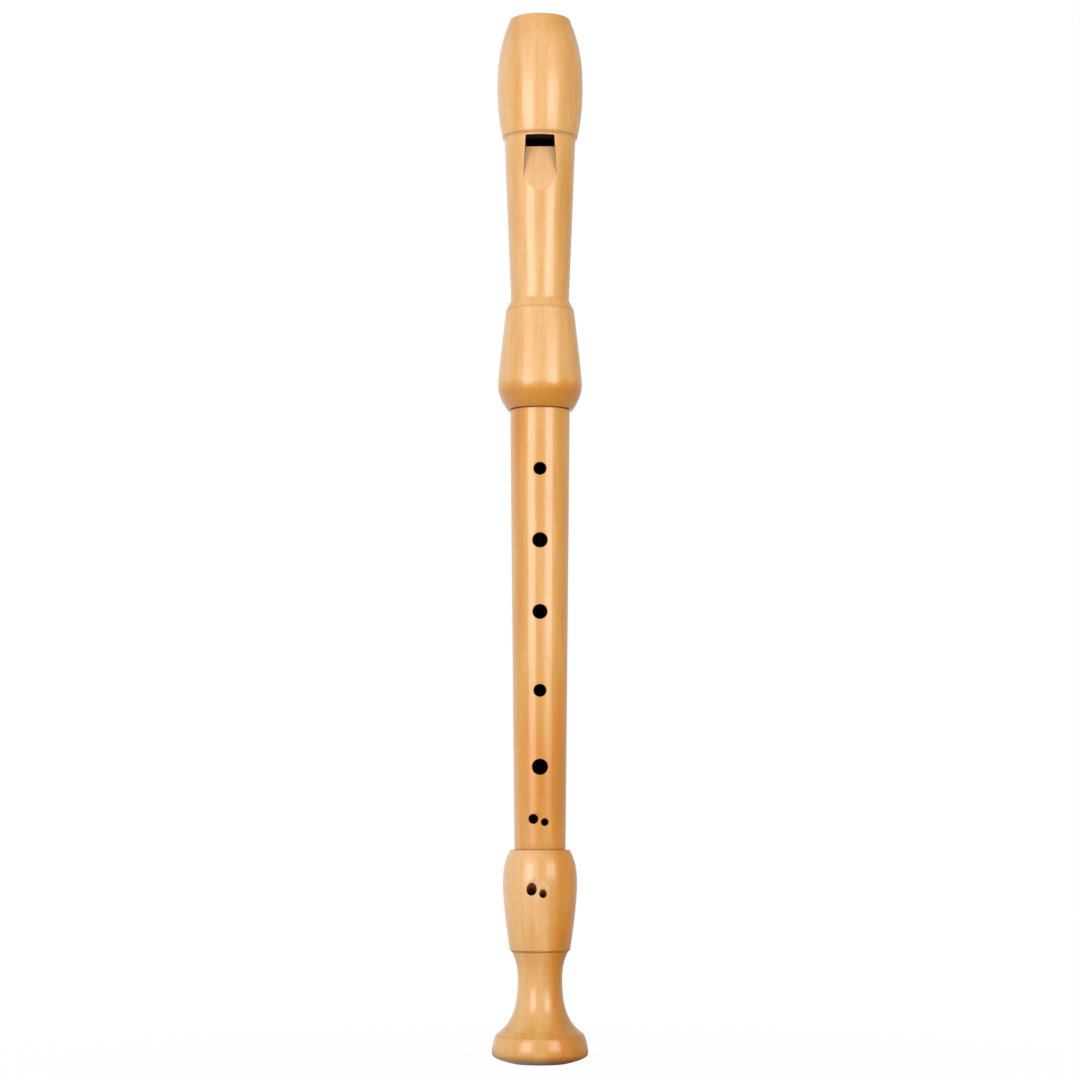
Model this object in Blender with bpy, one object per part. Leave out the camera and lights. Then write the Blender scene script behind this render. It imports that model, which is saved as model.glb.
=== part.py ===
"""Alto recorder in three turned wooden joints, standing upright on its bell.

Lengths are in metres. Z runs up the bore from the bell's end face. The window and the finger
holes face -Y, and the thumb hole and the hollow of the beak face +Y. Each joint is drawn with
its own lower end or shoulder at its z = 0, and its object's location lifts it to its seat.
"""
import math

import bmesh
import bpy
from mathutils import Matrix, Vector

# Running and seating clearances between neighbouring pieces
SEAT_GAP = 0.0003
CORK_GAP = 0.0003
TENON_GAP = 0.00045
SOCKET_FLOOR_GAP = 0.0007
BLOCK_GAP = 0.0003

# Facets round a turned piece, a drilled hole, the block and along curves of three lengths
TURNED_STEPS = 56
DRILL_STEPS = 24
SCOOP_STEPS = 96
BLOCK_STEPS = 48
BEAK_STEPS = 16
LONG_CURVE_STEPS = 7
CURVE_STEPS = 5
SHORT_CURVE_STEPS = 3
SHARP_ANGLE = math.radians(32.0)
MERGE_DISTANCE = 1e-7

# Bores
HEAD_BORE_RADIUS = 0.0097
MIDDLE_BORE_TOP_RADIUS = 0.0093
MIDDLE_BORE_LOW_RADIUS = 0.0069
FOOT_BORE_TOP_RADIUS = 0.0067
FOOT_BORE_WAIST_RADIUS = 0.0061
FOOT_BORE_WAIST_HEIGHT = 0.0250
FOOT_BORE_END_RADIUS = 0.0070
BORE_MOUTH_CHAMFER = 0.0008

# Corked tenons of the middle joint, and the sockets that go round them
UPPER_TENON_WALL = 0.0015
LOWER_TENON_WALL = 0.0017
TENON_END_CHAMFER = 0.0006
CORK_THICKNESS = 0.0012
CORK_CHAMFER = 0.0004
CORK_SHOULDER_MARGIN = 0.0035
CORK_END_MARGIN = 0.0030
HEAD_SOCKET_RADIUS = MIDDLE_BORE_TOP_RADIUS + UPPER_TENON_WALL + CORK_THICKNESS + 2.0 * CORK_GAP
HEAD_SOCKET_DEPTH = 0.0250
FOOT_SOCKET_RADIUS = MIDDLE_BORE_LOW_RADIUS + LOWER_TENON_WALL + CORK_THICKNESS + 2.0 * CORK_GAP
FOOT_SOCKET_DEPTH = 0.0170
SOCKET_MOUTH_CHAMFER = 0.0004

# Heights of the foot and the head; the holes' spacing gives the middle joint's, further on
FOOT_LENGTH = 0.1000
HEAD_LENGTH = 0.1907

# Foot joint: rounded bell end, rim, flare and neck, measured up from the end face
BELL_REST_RADIUS = 0.0120
BELL_RADIUS = 0.0226
BELL_WIDEST_HEIGHT = 0.0050
RIM_RADIUS = 0.0211
RIM_HEIGHT = 0.0129
RIM_BEVEL_WIDTH = 0.00075
RIM_BEVEL_RISE = 0.0011
FLARE_EASE_IN = 0.0053
FLARE_EASE_UP = 0.0039
FLARE_EASE_DOWN = 0.0155
NECK_RADIUS = 0.0105
NECK_HEIGHT = 0.0385
NECK_TOP_RADIUS = 0.0132
NECK_EASE_IN = 0.0013
NECK_EASE_DOWN = 0.0034
NECK_EASE_UP = 0.0085
TURNED_STEP = 0.0007

# Foot joint: barrel above the neck, its widest place measured down from the foot's top
BARREL_END_HEIGHT = 0.0529
BARREL_END_RADIUS = 0.01425
BARREL_RADIUS = 0.01752
BARREL_WIDEST_DROP = 0.0170
BARREL_TOP_WALL = 0.0036
BARREL_TOP_RADIUS = FOOT_SOCKET_RADIUS + BARREL_TOP_WALL

# Middle joint: plain taper between shoulders that stand proud of the sockets
UPPER_SHOULDER_WIDTH = 0.00165
LOWER_SHOULDER_WIDTH = 0.0017
MIDDLE_TOP_RADIUS = HEAD_SOCKET_RADIUS + UPPER_SHOULDER_WIDTH
MIDDLE_LOW_RADIUS = FOOT_SOCKET_RADIUS + LOWER_SHOULDER_WIDTH
SHOULDER_CHAMFER = 0.0003

# Head joint: crown round the windway, measured down from the top
CROWN_LENGTH = 0.0587
CROWN_TOP_RADIUS = 0.0150
CROWN_EDGE_ROUND = 0.0016
CROWN_RADIUS = 0.0206
CROWN_WIDEST_DROP = 0.0330
CROWN_END_RADIUS = 0.0179

# Head joint: tube and socket bulge, measured up from the lower end
TUBE_TOP_RADIUS = 0.01705
TUBE_LOW_RADIUS = 0.0139
SHOULDER_RADIUS = 0.0163
SHOULDER_HEIGHT = 0.0481
SHOULDER_RISE = 0.0048
BULGE_RADIUS = 0.02015
BULGE_WIDEST_HEIGHT = 0.0125
HEAD_END_WALL = 0.0029
HEAD_END_RADIUS = HEAD_SOCKET_RADIUS + HEAD_END_WALL

# How a turned swelling falls away: 1 is a straight cone, 2 a round arc, more stays full longer
CONE_FULLNESS = 1.12
SLACK_FULLNESS = 1.45
ROUND_FULLNESS = 2.0
PLUMP_FULLNESS = 2.25
FULL_FULLNESS = 2.75

# Windway, window and labium, with levels measured outwards from the bore's wall
WINDWAY_WIDTH = 0.0132
WINDWAY_FLOOR_DROP = 0.00025
WINDWAY_EXIT_HEIGHT = 0.0013
WINDWAY_ENTRY_HEIGHT = 0.0019
WINDWAY_CHAMFER = 0.0007
WINDOW_BELOW_CROWN = 0.0005
WINDOW_HEIGHT = 0.0046
LABIUM_EDGE_RISE = 0.00045
LABIUM_EDGE_THICKNESS = 0.00035
LABIUM_LENGTH = 0.0224
LABIUM_CHEEK_SLOPE = 0.05
LABIUM_CHEEK_SPLAY = 0.06
LABIUM_UNDERCUT_LENGTH = 0.0065
LABIUM_UNDERCUT_FADE = 0.0050

# Hollow of the beak, cut across the back of head and block together
BEAK_TIP_THICKNESS = 0.0120
BEAK_LENGTH = 0.0480

# Finger holes of the middle joint, from its upper shoulder down to its lower one
FIRST_HOLE_DROP = 0.0292
HOLE_SPACINGS = (0.0340, 0.0339, 0.0372, 0.0359, 0.0244)
LAST_HOLE_RISE = 0.0141
HOLE_RADII = (0.00305, 0.00360, 0.00350, 0.00300, 0.00375)
THUMB_HOLE_DROP = 0.0172
THUMB_HOLE_RADIUS = 0.0029
HOLE_UNDERCUT = 0.0004
MIDDLE_HEIGHT = FIRST_HOLE_DROP + sum(HOLE_SPACINGS) + LAST_HOLE_RISE

# Double holes, large and small: distance below the sixth hole's place or below the foot's
# socket floor, offset along X, and radius
MIDDLE_DOUBLE_HOLES = ((0.0, -0.0031, 0.00230), (0.0015, 0.0022, 0.00178))
FOOT_DOUBLE_HOLES = ((0.0010, -0.0039, 0.00240), (0.0033, 0.0014, 0.00172))
FOOT_HOLE_SLANT = math.radians(35.0)
MIDDLE_SCOOP_DEPTH = 0.0006
MIDDLE_SCOOP_RADIUS = 0.0140
FOOT_SCOOP_DEPTH = 0.0009
FOOT_SCOOP_RADIUS = 0.0200

# Headings of the finger holes and of the thumb hole, out from the axis
FRONT = (0.0, -1.0, 0.0)
BACK = (0.0, 1.0, 0.0)

# How far a cutter reaches past the surfaces it opens
CUT_MARGIN = 0.0040

# Linear base colours, and the roughness of satin lacquer, bare wood and sanded cork
PEARWOOD_COLOUR = (0.730, 0.405, 0.125)
PEARWOOD_ROUGHNESS = 0.38
CEDAR_COLOUR = (0.510, 0.235, 0.095)
CEDAR_ROUGHNESS = 0.75
CORK_COLOUR = (0.480, 0.290, 0.130)
CORK_ROUGHNESS = 0.85


def clear_scene():
    """Remove every object that the file opened with."""
    for item in list(bpy.data.objects):
        bpy.data.objects.remove(item, do_unlink=True)


def finish(name, colour, roughness):
    """Principled material for wood or cork, which is never metallic."""
    material = bpy.data.materials.new(name)
    material.use_nodes = True
    shader = material.node_tree.nodes["Principled BSDF"]
    shader.inputs["Base Color"].default_value = (*colour, 1.0)
    shader.inputs["Roughness"].default_value = roughness
    shader.inputs["Metallic"].default_value = 0.0
    return material


def piece_from(name, bm, material=None):
    """Object holding the bmesh, with its faces turned outwards."""
    bmesh.ops.recalc_face_normals(bm, faces=bm.faces)
    mesh = bpy.data.meshes.new(name)
    bm.to_mesh(mesh)
    bm.free()
    if material is not None:
        mesh.materials.append(material)
        mesh.shade_smooth()
        mesh.set_sharp_from_angle(angle=SHARP_ANGLE)
    piece = bpy.data.objects.new(name, mesh)
    bpy.context.collection.objects.link(piece)
    return piece


def turned(name, outline, material):
    """Turn a closed outline of (radius, height) points once round Z."""
    bm = bmesh.new()
    verts = [bm.verts.new((radius, 0.0, height)) for radius, height in outline]
    edges = [bm.edges.new(pair) for pair in zip(verts, verts[1:] + verts[:1])]
    bmesh.ops.spin(bm, geom=verts + edges, cent=(0.0, 0.0, 0.0), axis=(0.0, 0.0, 1.0),
                   angle=2.0 * math.pi, steps=TURNED_STEPS, use_merge=True)
    bmesh.ops.remove_doubles(bm, verts=bm.verts, dist=MERGE_DISTANCE)
    return piece_from(name, bm, material)


def lofted(name, sections, material=None):
    """Skin over closed sections that have equal point counts, with a flat cap at each end."""
    bm = bmesh.new()
    rings = [[bm.verts.new(point) for point in section] for section in sections]
    count = len(rings[0])
    for low, high in zip(rings, rings[1:]):
        for index in range(count):
            following = (index + 1) % count
            bm.faces.new((low[index], low[following], high[following], high[index]))
    bm.faces.new(rings[0])
    bm.faces.new(rings[-1])
    return piece_from(name, bm, material)


def crosswise(name, outline, half_width):
    """Prism across X over an outline of (y, z) points, half_width(y, z) wide at each point."""
    left = [(-half_width(y, z), y, z) for y, z in outline]
    right = [(half_width(y, z), y, z) for y, z in outline]
    return lofted(name, [left, right])


def drill(name, tip, heading, stations, steps=DRILL_STEPS):
    """Round cutter from tip along heading, through stations of (distance, radius)."""
    sections = []
    for distance, radius in stations:
        angles = [2.0 * math.pi * index / steps for index in range(steps)]
        sections.append([(radius * math.cos(a), radius * math.sin(a), distance) for a in angles])
    cutter = lofted(name, sections)
    turn = Vector(heading).to_track_quat("Z", "Y").to_matrix().to_4x4()
    cutter.data.transform(Matrix.Translation(Vector(tip)) @ turn)
    return cutter


def cut(piece, cutter):
    """Take the cutter, which travels with the piece, out of the piece."""
    cutter.parent = piece
    cutter.hide_render = True
    cutter.display_type = "WIRE"
    step = piece.modifiers.new(cutter.name, "BOOLEAN")
    step.operation = "DIFFERENCE"
    step.solver = "EXACT"
    step.object = cutter


def swelling(wide, end, fullness, steps=CURVE_STEPS):
    """Points after the widest place, falling to the end by a power of the way there."""
    points = []
    for index in range(1, steps + 1):
        share = index / steps
        radius = wide[0] - (wide[0] - end[0]) * share ** fullness
        points.append((radius, wide[1] + (end[1] - wide[1]) * share))
    return points


def swelling_to_widest(start, wide, fullness, steps=CURVE_STEPS):
    """The same curve from its end to the widest place, with both its ends."""
    return [start] + swelling(wide, start, fullness, steps)[-2::-1] + [wide]


def quarter_round(flat, side, steps=CURVE_STEPS):
    """Elliptical corner from a flat face at the first point to an upright side at the other."""
    points = []
    for index in range(steps + 1):
        angle = 0.5 * math.pi * index / steps
        radius = flat[0] + (side[0] - flat[0]) * math.sin(angle)
        height = side[1] + (flat[1] - side[1]) * math.cos(angle)
        points.append((radius, height))
    return points


def bezier(start, start_handle, end_handle, end, steps=CURVE_STEPS):
    """Points of a cubic curve after its start."""
    points = []
    for index in range(1, steps + 1):
        t = index / steps
        s = 1.0 - t
        weights = (s * s * s, 3.0 * s * s * t, 3.0 * s * t * t, t * t * t)
        corners = (start, start_handle, end_handle, end)
        points.append(tuple(sum(w * c[axis] for w, c in zip(weights, corners)) for axis in (0, 1)))
    return points


def radius_between(low, high, height):
    """Radius at a height on the straight line between two (radius, height) points."""
    share = (height - low[1]) / (high[1] - low[1])
    return low[0] + (high[0] - low[0]) * share


def foot_outline():
    """Closed outline of the foot joint, from the socket's mouth down its outer side."""
    top = FOOT_LENGTH
    wide = (BARREL_RADIUS, top - BARREL_WIDEST_DROP)
    barrel_end = (BARREL_END_RADIUS, BARREL_END_HEIGHT)
    neck_top = (NECK_TOP_RADIUS, BARREL_END_HEIGHT - TURNED_STEP)
    neck_top_handle = (NECK_TOP_RADIUS - NECK_EASE_IN, neck_top[1] - NECK_EASE_DOWN)
    neck = (NECK_RADIUS, NECK_HEIGHT)
    rim = (RIM_RADIUS, RIM_HEIGHT)
    flare = (RIM_RADIUS - RIM_BEVEL_WIDTH, RIM_HEIGHT + RIM_BEVEL_RISE)
    flare_handle = (flare[0] - FLARE_EASE_IN, flare[1] + FLARE_EASE_UP)
    bell = (BELL_RADIUS, BELL_WIDEST_HEIGHT)
    outer = [(FOOT_SOCKET_RADIUS + SOCKET_MOUTH_CHAMFER, top)]
    outer += swelling_to_widest((BARREL_TOP_RADIUS, top), wide, FULL_FULLNESS, LONG_CURVE_STEPS)
    outer += swelling(wide, barrel_end, SLACK_FULLNESS)
    outer += [neck_top]
    outer += bezier(neck_top, neck_top_handle, (NECK_RADIUS, NECK_HEIGHT + NECK_EASE_UP), neck,
                    CURVE_STEPS)
    outer += bezier(neck, (NECK_RADIUS, NECK_HEIGHT - FLARE_EASE_DOWN), flare_handle, flare,
                    LONG_CURVE_STEPS)
    outer += swelling_to_widest(rim, bell, ROUND_FULLNESS, SHORT_CURVE_STEPS)
    outer += swelling(bell, (BELL_REST_RADIUS, 0.0), PLUMP_FULLNESS, LONG_CURVE_STEPS)
    socket_floor = top - FOOT_SOCKET_DEPTH
    inner = [
        (FOOT_BORE_END_RADIUS + BORE_MOUTH_CHAMFER, 0.0),
        (FOOT_BORE_END_RADIUS, BORE_MOUTH_CHAMFER),
        (FOOT_BORE_WAIST_RADIUS, FOOT_BORE_WAIST_HEIGHT),
        (FOOT_BORE_TOP_RADIUS, socket_floor),
        (FOOT_SOCKET_RADIUS, socket_floor),
        (FOOT_SOCKET_RADIUS, top - SOCKET_MOUTH_CHAMFER),
    ]
    return outer + inner


def tenon_length(socket_depth):
    """Length of a tenon, from a shoulder that stands clear of the socket's mouth."""
    return socket_depth + SEAT_GAP - SOCKET_FLOOR_GAP


def tenon_side(socket_radius, socket_depth):
    """Outer side of a tenon, as (radius, distance from its shoulder), out to its end face."""
    radius = socket_radius - TENON_GAP
    groove = socket_radius - CORK_GAP - CORK_THICKNESS - CORK_GAP
    length = tenon_length(socket_depth)
    return [
        (radius, 0.0),
        (radius, CORK_SHOULDER_MARGIN),
        (groove, CORK_SHOULDER_MARGIN),
        (groove, length - CORK_END_MARGIN),
        (radius, length - CORK_END_MARGIN),
        (radius, length - TENON_END_CHAMFER),
        (radius - TENON_END_CHAMFER, length),
    ]


def cork_outline(socket_radius, socket_depth):
    """Closed outline of a cork ring, as (radius, distance from the tenon's shoulder)."""
    outside = socket_radius - CORK_GAP
    inside = outside - CORK_THICKNESS
    near = CORK_SHOULDER_MARGIN + CORK_GAP
    far = tenon_length(socket_depth) - CORK_END_MARGIN - CORK_GAP
    return [
        (inside, near),
        (inside, far),
        (outside - CORK_CHAMFER, far),
        (outside, far - CORK_CHAMFER),
        (outside, near + CORK_CHAMFER),
        (outside - CORK_CHAMFER, near),
    ]


def middle_outline():
    """Closed outline of the middle joint, from the upper tenon's end down its outer side."""
    top = MIDDLE_HEIGHT
    upper = tenon_side(HEAD_SOCKET_RADIUS, HEAD_SOCKET_DEPTH)
    lower = tenon_side(FOOT_SOCKET_RADIUS, FOOT_SOCKET_DEPTH)
    outer = [(radius, top + distance) for radius, distance in reversed(upper)]
    outer += [
        (MIDDLE_TOP_RADIUS - SHOULDER_CHAMFER, top),
        (MIDDLE_TOP_RADIUS, top - SHOULDER_CHAMFER),
        (MIDDLE_LOW_RADIUS, SHOULDER_CHAMFER),
        (MIDDLE_LOW_RADIUS - SHOULDER_CHAMFER, 0.0),
    ]
    outer += [(radius, -distance) for radius, distance in lower]
    inner = [
        (MIDDLE_BORE_LOW_RADIUS, -lower[-1][1]),
        (MIDDLE_BORE_TOP_RADIUS, top + upper[-1][1]),
    ]
    return outer + inner


def head_tube_ends():
    """The lower and upper (radius, height) of the head's tapering tube."""
    low = (TUBE_LOW_RADIUS, SHOULDER_HEIGHT + SHOULDER_RISE)
    high = (TUBE_TOP_RADIUS, HEAD_LENGTH - CROWN_LENGTH - TURNED_STEP)
    return low, high


def head_outline():
    """Closed outline of the head joint, from the bore's top edge down its outer side."""
    top = HEAD_LENGTH
    tube_low, tube_high = head_tube_ends()
    crown_edge = (CROWN_TOP_RADIUS, top - CROWN_EDGE_ROUND)
    crown_wide = (CROWN_RADIUS, top - CROWN_WIDEST_DROP)
    bulge_wide = (BULGE_RADIUS, BULGE_WIDEST_HEIGHT)
    shoulder = (SHOULDER_RADIUS, SHOULDER_HEIGHT)
    outer = [(HEAD_BORE_RADIUS, top)]
    outer += quarter_round((CROWN_TOP_RADIUS - CROWN_EDGE_ROUND, top), crown_edge,
                           SHORT_CURVE_STEPS)[:-1]
    outer += swelling_to_widest(crown_edge, crown_wide, PLUMP_FULLNESS, LONG_CURVE_STEPS)
    outer += swelling(crown_wide, (CROWN_END_RADIUS, top - CROWN_LENGTH), PLUMP_FULLNESS)
    outer += [tube_high, tube_low]
    outer += swelling_to_widest(shoulder, bulge_wide, CONE_FULLNESS)
    outer += swelling(bulge_wide, (HEAD_END_RADIUS, 0.0), ROUND_FULLNESS, LONG_CURVE_STEPS)
    inner = [
        (HEAD_SOCKET_RADIUS + SOCKET_MOUTH_CHAMFER, 0.0),
        (HEAD_SOCKET_RADIUS, SOCKET_MOUTH_CHAMFER),
        (HEAD_SOCKET_RADIUS, HEAD_SOCKET_DEPTH),
        (HEAD_BORE_RADIUS, HEAD_SOCKET_DEPTH),
    ]
    return outer + inner


def window_top():
    """Height of the window's upper edge, where the windway and the block end."""
    return HEAD_LENGTH - CROWN_LENGTH - TURNED_STEP - WINDOW_BELOW_CROWN


def windway_floor():
    """Distance of the windway's floor in front of the bore's axis."""
    return HEAD_BORE_RADIUS - WINDWAY_FLOOR_DROP


def beak_cutter(name):
    """Prism whose round side, along the axis at the tip, hollows the beak's back."""
    top = HEAD_LENGTH
    tip_y = BEAK_TIP_THICKNESS - CROWN_TOP_RADIUS
    depth = CROWN_RADIUS - tip_y
    radius = (BEAK_LENGTH ** 2 + depth ** 2) / (2.0 * depth)
    sweep = math.asin(BEAK_LENGTH / radius)
    spare = CUT_MARGIN / radius
    outline = [(tip_y, top + CUT_MARGIN)]
    for index in range(BEAK_STEPS + 1):
        angle = (sweep + spare) * index / BEAK_STEPS
        outline.append((tip_y + radius * (1.0 - math.cos(angle)), top - radius * math.sin(angle)))
    outline.append((outline[-1][0] + CUT_MARGIN, outline[-1][1]))
    outline.append((outline[-1][0], top + CUT_MARGIN))
    return crosswise(name, outline, lambda y, z: CROWN_RADIUS + CUT_MARGIN)


def cut_windway(head):
    """Open the windway's slot, the window, the labium's slope and the hollow under its edge."""
    top = HEAD_LENGTH + CUT_MARGIN
    window = window_top()
    edge = window - WINDOW_HEIGHT
    inside = HEAD_BORE_RADIUS - CUT_MARGIN
    outside = CROWN_RADIUS + CUT_MARGIN
    half_width = 0.5 * WINDWAY_WIDTH
    exit_roof = windway_floor() + WINDWAY_EXIT_HEIGHT
    entry_roof = windway_floor() + WINDWAY_ENTRY_HEIGHT
    slot = [
        (-inside, window - 0.5 * WINDOW_HEIGHT),
        (-exit_roof - WINDWAY_CHAMFER, window - 0.5 * WINDOW_HEIGHT),
        (-exit_roof - WINDWAY_CHAMFER, window),
        (-exit_roof, window + WINDWAY_CHAMFER),
        (-entry_roof, top),
        (-inside, top),
    ]
    cut(head, crosswise("windway_cutter", slot, lambda y, z: half_width))

    blade = HEAD_BORE_RADIUS + LABIUM_EDGE_RISE
    slope_end = edge - LABIUM_LENGTH
    surface = radius_between(*head_tube_ends(), slope_end)
    fall = (surface - blade) / LABIUM_LENGTH
    window_and_slope = [
        (-inside, window),
        (-outside, window),
        (-outside, edge - (outside - blade) / fall),
        (-blade, edge),
        (-inside, edge),
    ]

    def cheek(y, z):
        lean = LABIUM_CHEEK_SLOPE * (-y - blade)
        return half_width + lean + LABIUM_CHEEK_SPLAY * (window - z)

    cut(head, crosswise("window_cutter", window_and_slope, cheek))

    underside = blade - LABIUM_EDGE_THICKNESS
    fade_start = edge - LABIUM_UNDERCUT_LENGTH
    undercut = [
        (-inside, window - 0.5 * WINDOW_HEIGHT),
        (-underside, window - 0.5 * WINDOW_HEIGHT),
        (-underside, fade_start),
        (-inside, fade_start - LABIUM_UNDERCUT_FADE),
    ]
    cut(head, crosswise("labium_undercutter", undercut, lambda y, z: half_width))


def make_block(material):
    """Round plug of the bore with the raised floor of the windway along its front."""
    radius = HEAD_BORE_RADIUS - BLOCK_GAP
    half_width = 0.5 * WINDWAY_WIDTH - BLOCK_GAP
    start = math.asin(half_width / radius)
    end = 2.0 * math.pi - start
    bottom = window_top()
    floor = windway_floor()
    levels = ((bottom, floor - WINDWAY_CHAMFER), (bottom + WINDWAY_CHAMFER, floor),
              (HEAD_LENGTH, floor))
    sections = []
    for height, level in levels:
        section = [(half_width, -level, height)]
        for index in range(BLOCK_STEPS + 1):
            angle = start + (end - start) * index / BLOCK_STEPS
            section.append((radius * math.sin(angle), -radius * math.cos(angle), height))
        section.append((-half_width, -level, height))
        sections.append(section)
    return lofted("block", sections, material)


def scoop(piece, name, holes, datum, surface, depth, radius):
    """Shallow hollow round a pair of holes, as a drum laid across the front leaves it."""
    centre_height = datum - 0.5 * sum(hole[0] for hole in holes)
    centre_offset = 0.5 * sum(hole[1] for hole in holes)
    turn = math.asin(centre_offset / surface)
    half_length = surface
    distance = surface - depth + radius
    stations = ((0.0, radius), (2.0 * half_length, radius))
    cutter = drill(name, (-half_length, -distance, centre_height), (1.0, 0.0, 0.0), stations,
                   SCOOP_STEPS)
    cutter.data.transform(Matrix.Rotation(turn, 4, "Z"))
    cut(piece, cutter)


def drill_middle(middle):
    """All holes of the middle joint, with the scoop round its double hole."""
    bore_ends = ((MIDDLE_BORE_LOW_RADIUS, 0.0), (MIDDLE_BORE_TOP_RADIUS, MIDDLE_HEIGHT))
    side_ends = ((MIDDLE_LOW_RADIUS, 0.0), (MIDDLE_TOP_RADIUS, MIDDLE_HEIGHT))
    scoop(middle, "middle_scoop_cutter", MIDDLE_DOUBLE_HOLES, LAST_HOLE_RISE,
          radius_between(*side_ends, LAST_HOLE_RISE), MIDDLE_SCOOP_DEPTH, MIDDLE_SCOOP_RADIUS)
    holes = []
    height = MIDDLE_HEIGHT - FIRST_HOLE_DROP
    for radius, spacing in zip(HOLE_RADII, HOLE_SPACINGS):
        holes.append((height, 0.0, radius, FRONT, HOLE_UNDERCUT))
        height -= spacing
    for drop, offset, radius in MIDDLE_DOUBLE_HOLES:
        holes.append((height - drop, offset, radius, FRONT, 0.0))
    holes.append((MIDDLE_HEIGHT - THUMB_HOLE_DROP, 0.0, THUMB_HOLE_RADIUS, BACK, HOLE_UNDERCUT))
    for number, (height, offset, radius, heading, undercut) in enumerate(holes, start=1):
        bore = radius_between(*bore_ends, height)
        surface = radius_between(*side_ends, height)
        stations = ((0.0, radius + 2.0 * undercut), (0.5 * (bore + surface), radius),
                    (surface + CUT_MARGIN, radius))
        cut(middle, drill(f"hole_cutter_{number}", (offset, 0.0, height), heading, stations))


def drill_foot(foot):
    """The foot's double hole, slanting down so that it meets the bore below the socket."""
    socket_floor = FOOT_LENGTH - FOOT_SOCKET_DEPTH
    scoop(foot, "foot_scoop_cutter", FOOT_DOUBLE_HOLES, socket_floor, BARREL_RADIUS,
          FOOT_SCOOP_DEPTH, FOOT_SCOOP_RADIUS)
    heading = Vector((0.0, -math.cos(FOOT_HOLE_SLANT), math.sin(FOOT_HOLE_SLANT)))
    for number, (drop, offset, radius) in enumerate(FOOT_DOUBLE_HOLES, start=1):
        surface = math.sqrt(BARREL_RADIUS ** 2 - offset ** 2) - FOOT_SCOOP_DEPTH
        reach = surface / math.cos(FOOT_HOLE_SLANT)
        mouth = Vector((offset, -surface, socket_floor - drop))
        stations = ((0.0, radius), (reach + CUT_MARGIN, radius))
        cut(foot, drill(f"foot_hole_cutter_{number}", mouth - heading * reach, heading, stations))


def build():
    """Make every piece of the recorder and set it in its place."""
    clear_scene()
    pearwood = finish("lacquered_pearwood", PEARWOOD_COLOUR, PEARWOOD_ROUGHNESS)
    cedar = finish("block_cedar", CEDAR_COLOUR, CEDAR_ROUGHNESS)
    cork = finish("tenon_cork", CORK_COLOUR, CORK_ROUGHNESS)

    foot = turned("foot_joint", foot_outline(), pearwood)
    drill_foot(foot)

    middle = turned("middle_joint", middle_outline(), pearwood)
    middle.location.z = FOOT_LENGTH + SEAT_GAP
    drill_middle(middle)

    upper_outline = cork_outline(HEAD_SOCKET_RADIUS, HEAD_SOCKET_DEPTH)
    upper_cork = turned("upper_tenon_cork", upper_outline, cork)
    upper_cork.parent = middle
    upper_cork.location.z = MIDDLE_HEIGHT

    lower_outline = cork_outline(FOOT_SOCKET_RADIUS, FOOT_SOCKET_DEPTH)
    lower_cork = turned("lower_tenon_cork", [(r, -d) for r, d in lower_outline], cork)
    lower_cork.parent = middle

    head = turned("head_joint", head_outline(), pearwood)
    head.location.z = middle.location.z + MIDDLE_HEIGHT + SEAT_GAP
    cut_windway(head)
    cut(head, beak_cutter("head_beak_cutter"))

    block = make_block(cedar)
    block.parent = head
    cut(block, beak_cutter("block_beak_cutter"))


build()
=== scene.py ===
"""Finished looks of a turned wooden alto recorder, laid out as a Blender add-on.

Each joint of the recorder is a turned surface with its holes, window and hollows carved out of it.
Lengths are in metres. Z runs up the bore and -Y is the front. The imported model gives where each
joint begins and ends, and the property groups below hold the sizes of its curves.
"""

import math

import bpy
import numpy as np
from bpy.props import FloatProperty, FloatVectorProperty, PointerProperty
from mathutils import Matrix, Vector


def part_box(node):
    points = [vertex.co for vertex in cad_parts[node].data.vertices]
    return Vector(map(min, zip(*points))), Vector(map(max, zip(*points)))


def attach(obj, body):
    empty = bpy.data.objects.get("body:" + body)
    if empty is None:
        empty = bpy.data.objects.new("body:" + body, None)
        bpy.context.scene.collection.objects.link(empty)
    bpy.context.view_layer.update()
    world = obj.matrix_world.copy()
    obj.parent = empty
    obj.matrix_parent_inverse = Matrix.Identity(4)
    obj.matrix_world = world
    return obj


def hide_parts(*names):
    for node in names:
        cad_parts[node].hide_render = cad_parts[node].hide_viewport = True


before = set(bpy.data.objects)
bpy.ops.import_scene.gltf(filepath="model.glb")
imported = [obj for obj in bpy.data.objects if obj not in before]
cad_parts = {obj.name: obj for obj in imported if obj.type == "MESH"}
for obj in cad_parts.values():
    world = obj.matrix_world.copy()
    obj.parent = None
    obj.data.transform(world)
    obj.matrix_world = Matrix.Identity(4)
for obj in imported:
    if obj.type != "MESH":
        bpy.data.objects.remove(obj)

bl_info = {
    "name": "Alto Recorder",
    "version": (1, 0, 0),
    "blender": (4, 5, 0),
    "location": "View3D > Sidebar > Recorder",
    "description": "Turned pearwood alto recorder with its block, corks and studio",
    "category": "Add Mesh",
}

# Where the finishes sit in each joint's list of materials
LACQUERED = 0
BORE = 1
BARE = 2

# Facets round the head, round the other turned pieces, round a bore and round a drilled hole
HEAD_COLUMNS = 192
TURNED_COLUMNS = 160
BORE_COLUMNS = 96
HOLE_COLUMNS = 48

# Spacing of the rows along a curve, along a plain taper, and where a taper is carved
CURVE_ROW = 0.0010
TAPER_ROW = 0.0030
CARVED_ROW = 0.0005

# Outline points nearer than this to the one before are left out, and this is the least sine to
# divide by and the least share of a radius to leave under a root
SAME_POINT = 1e-7
LEAST_SHARE = 0.001

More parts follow.
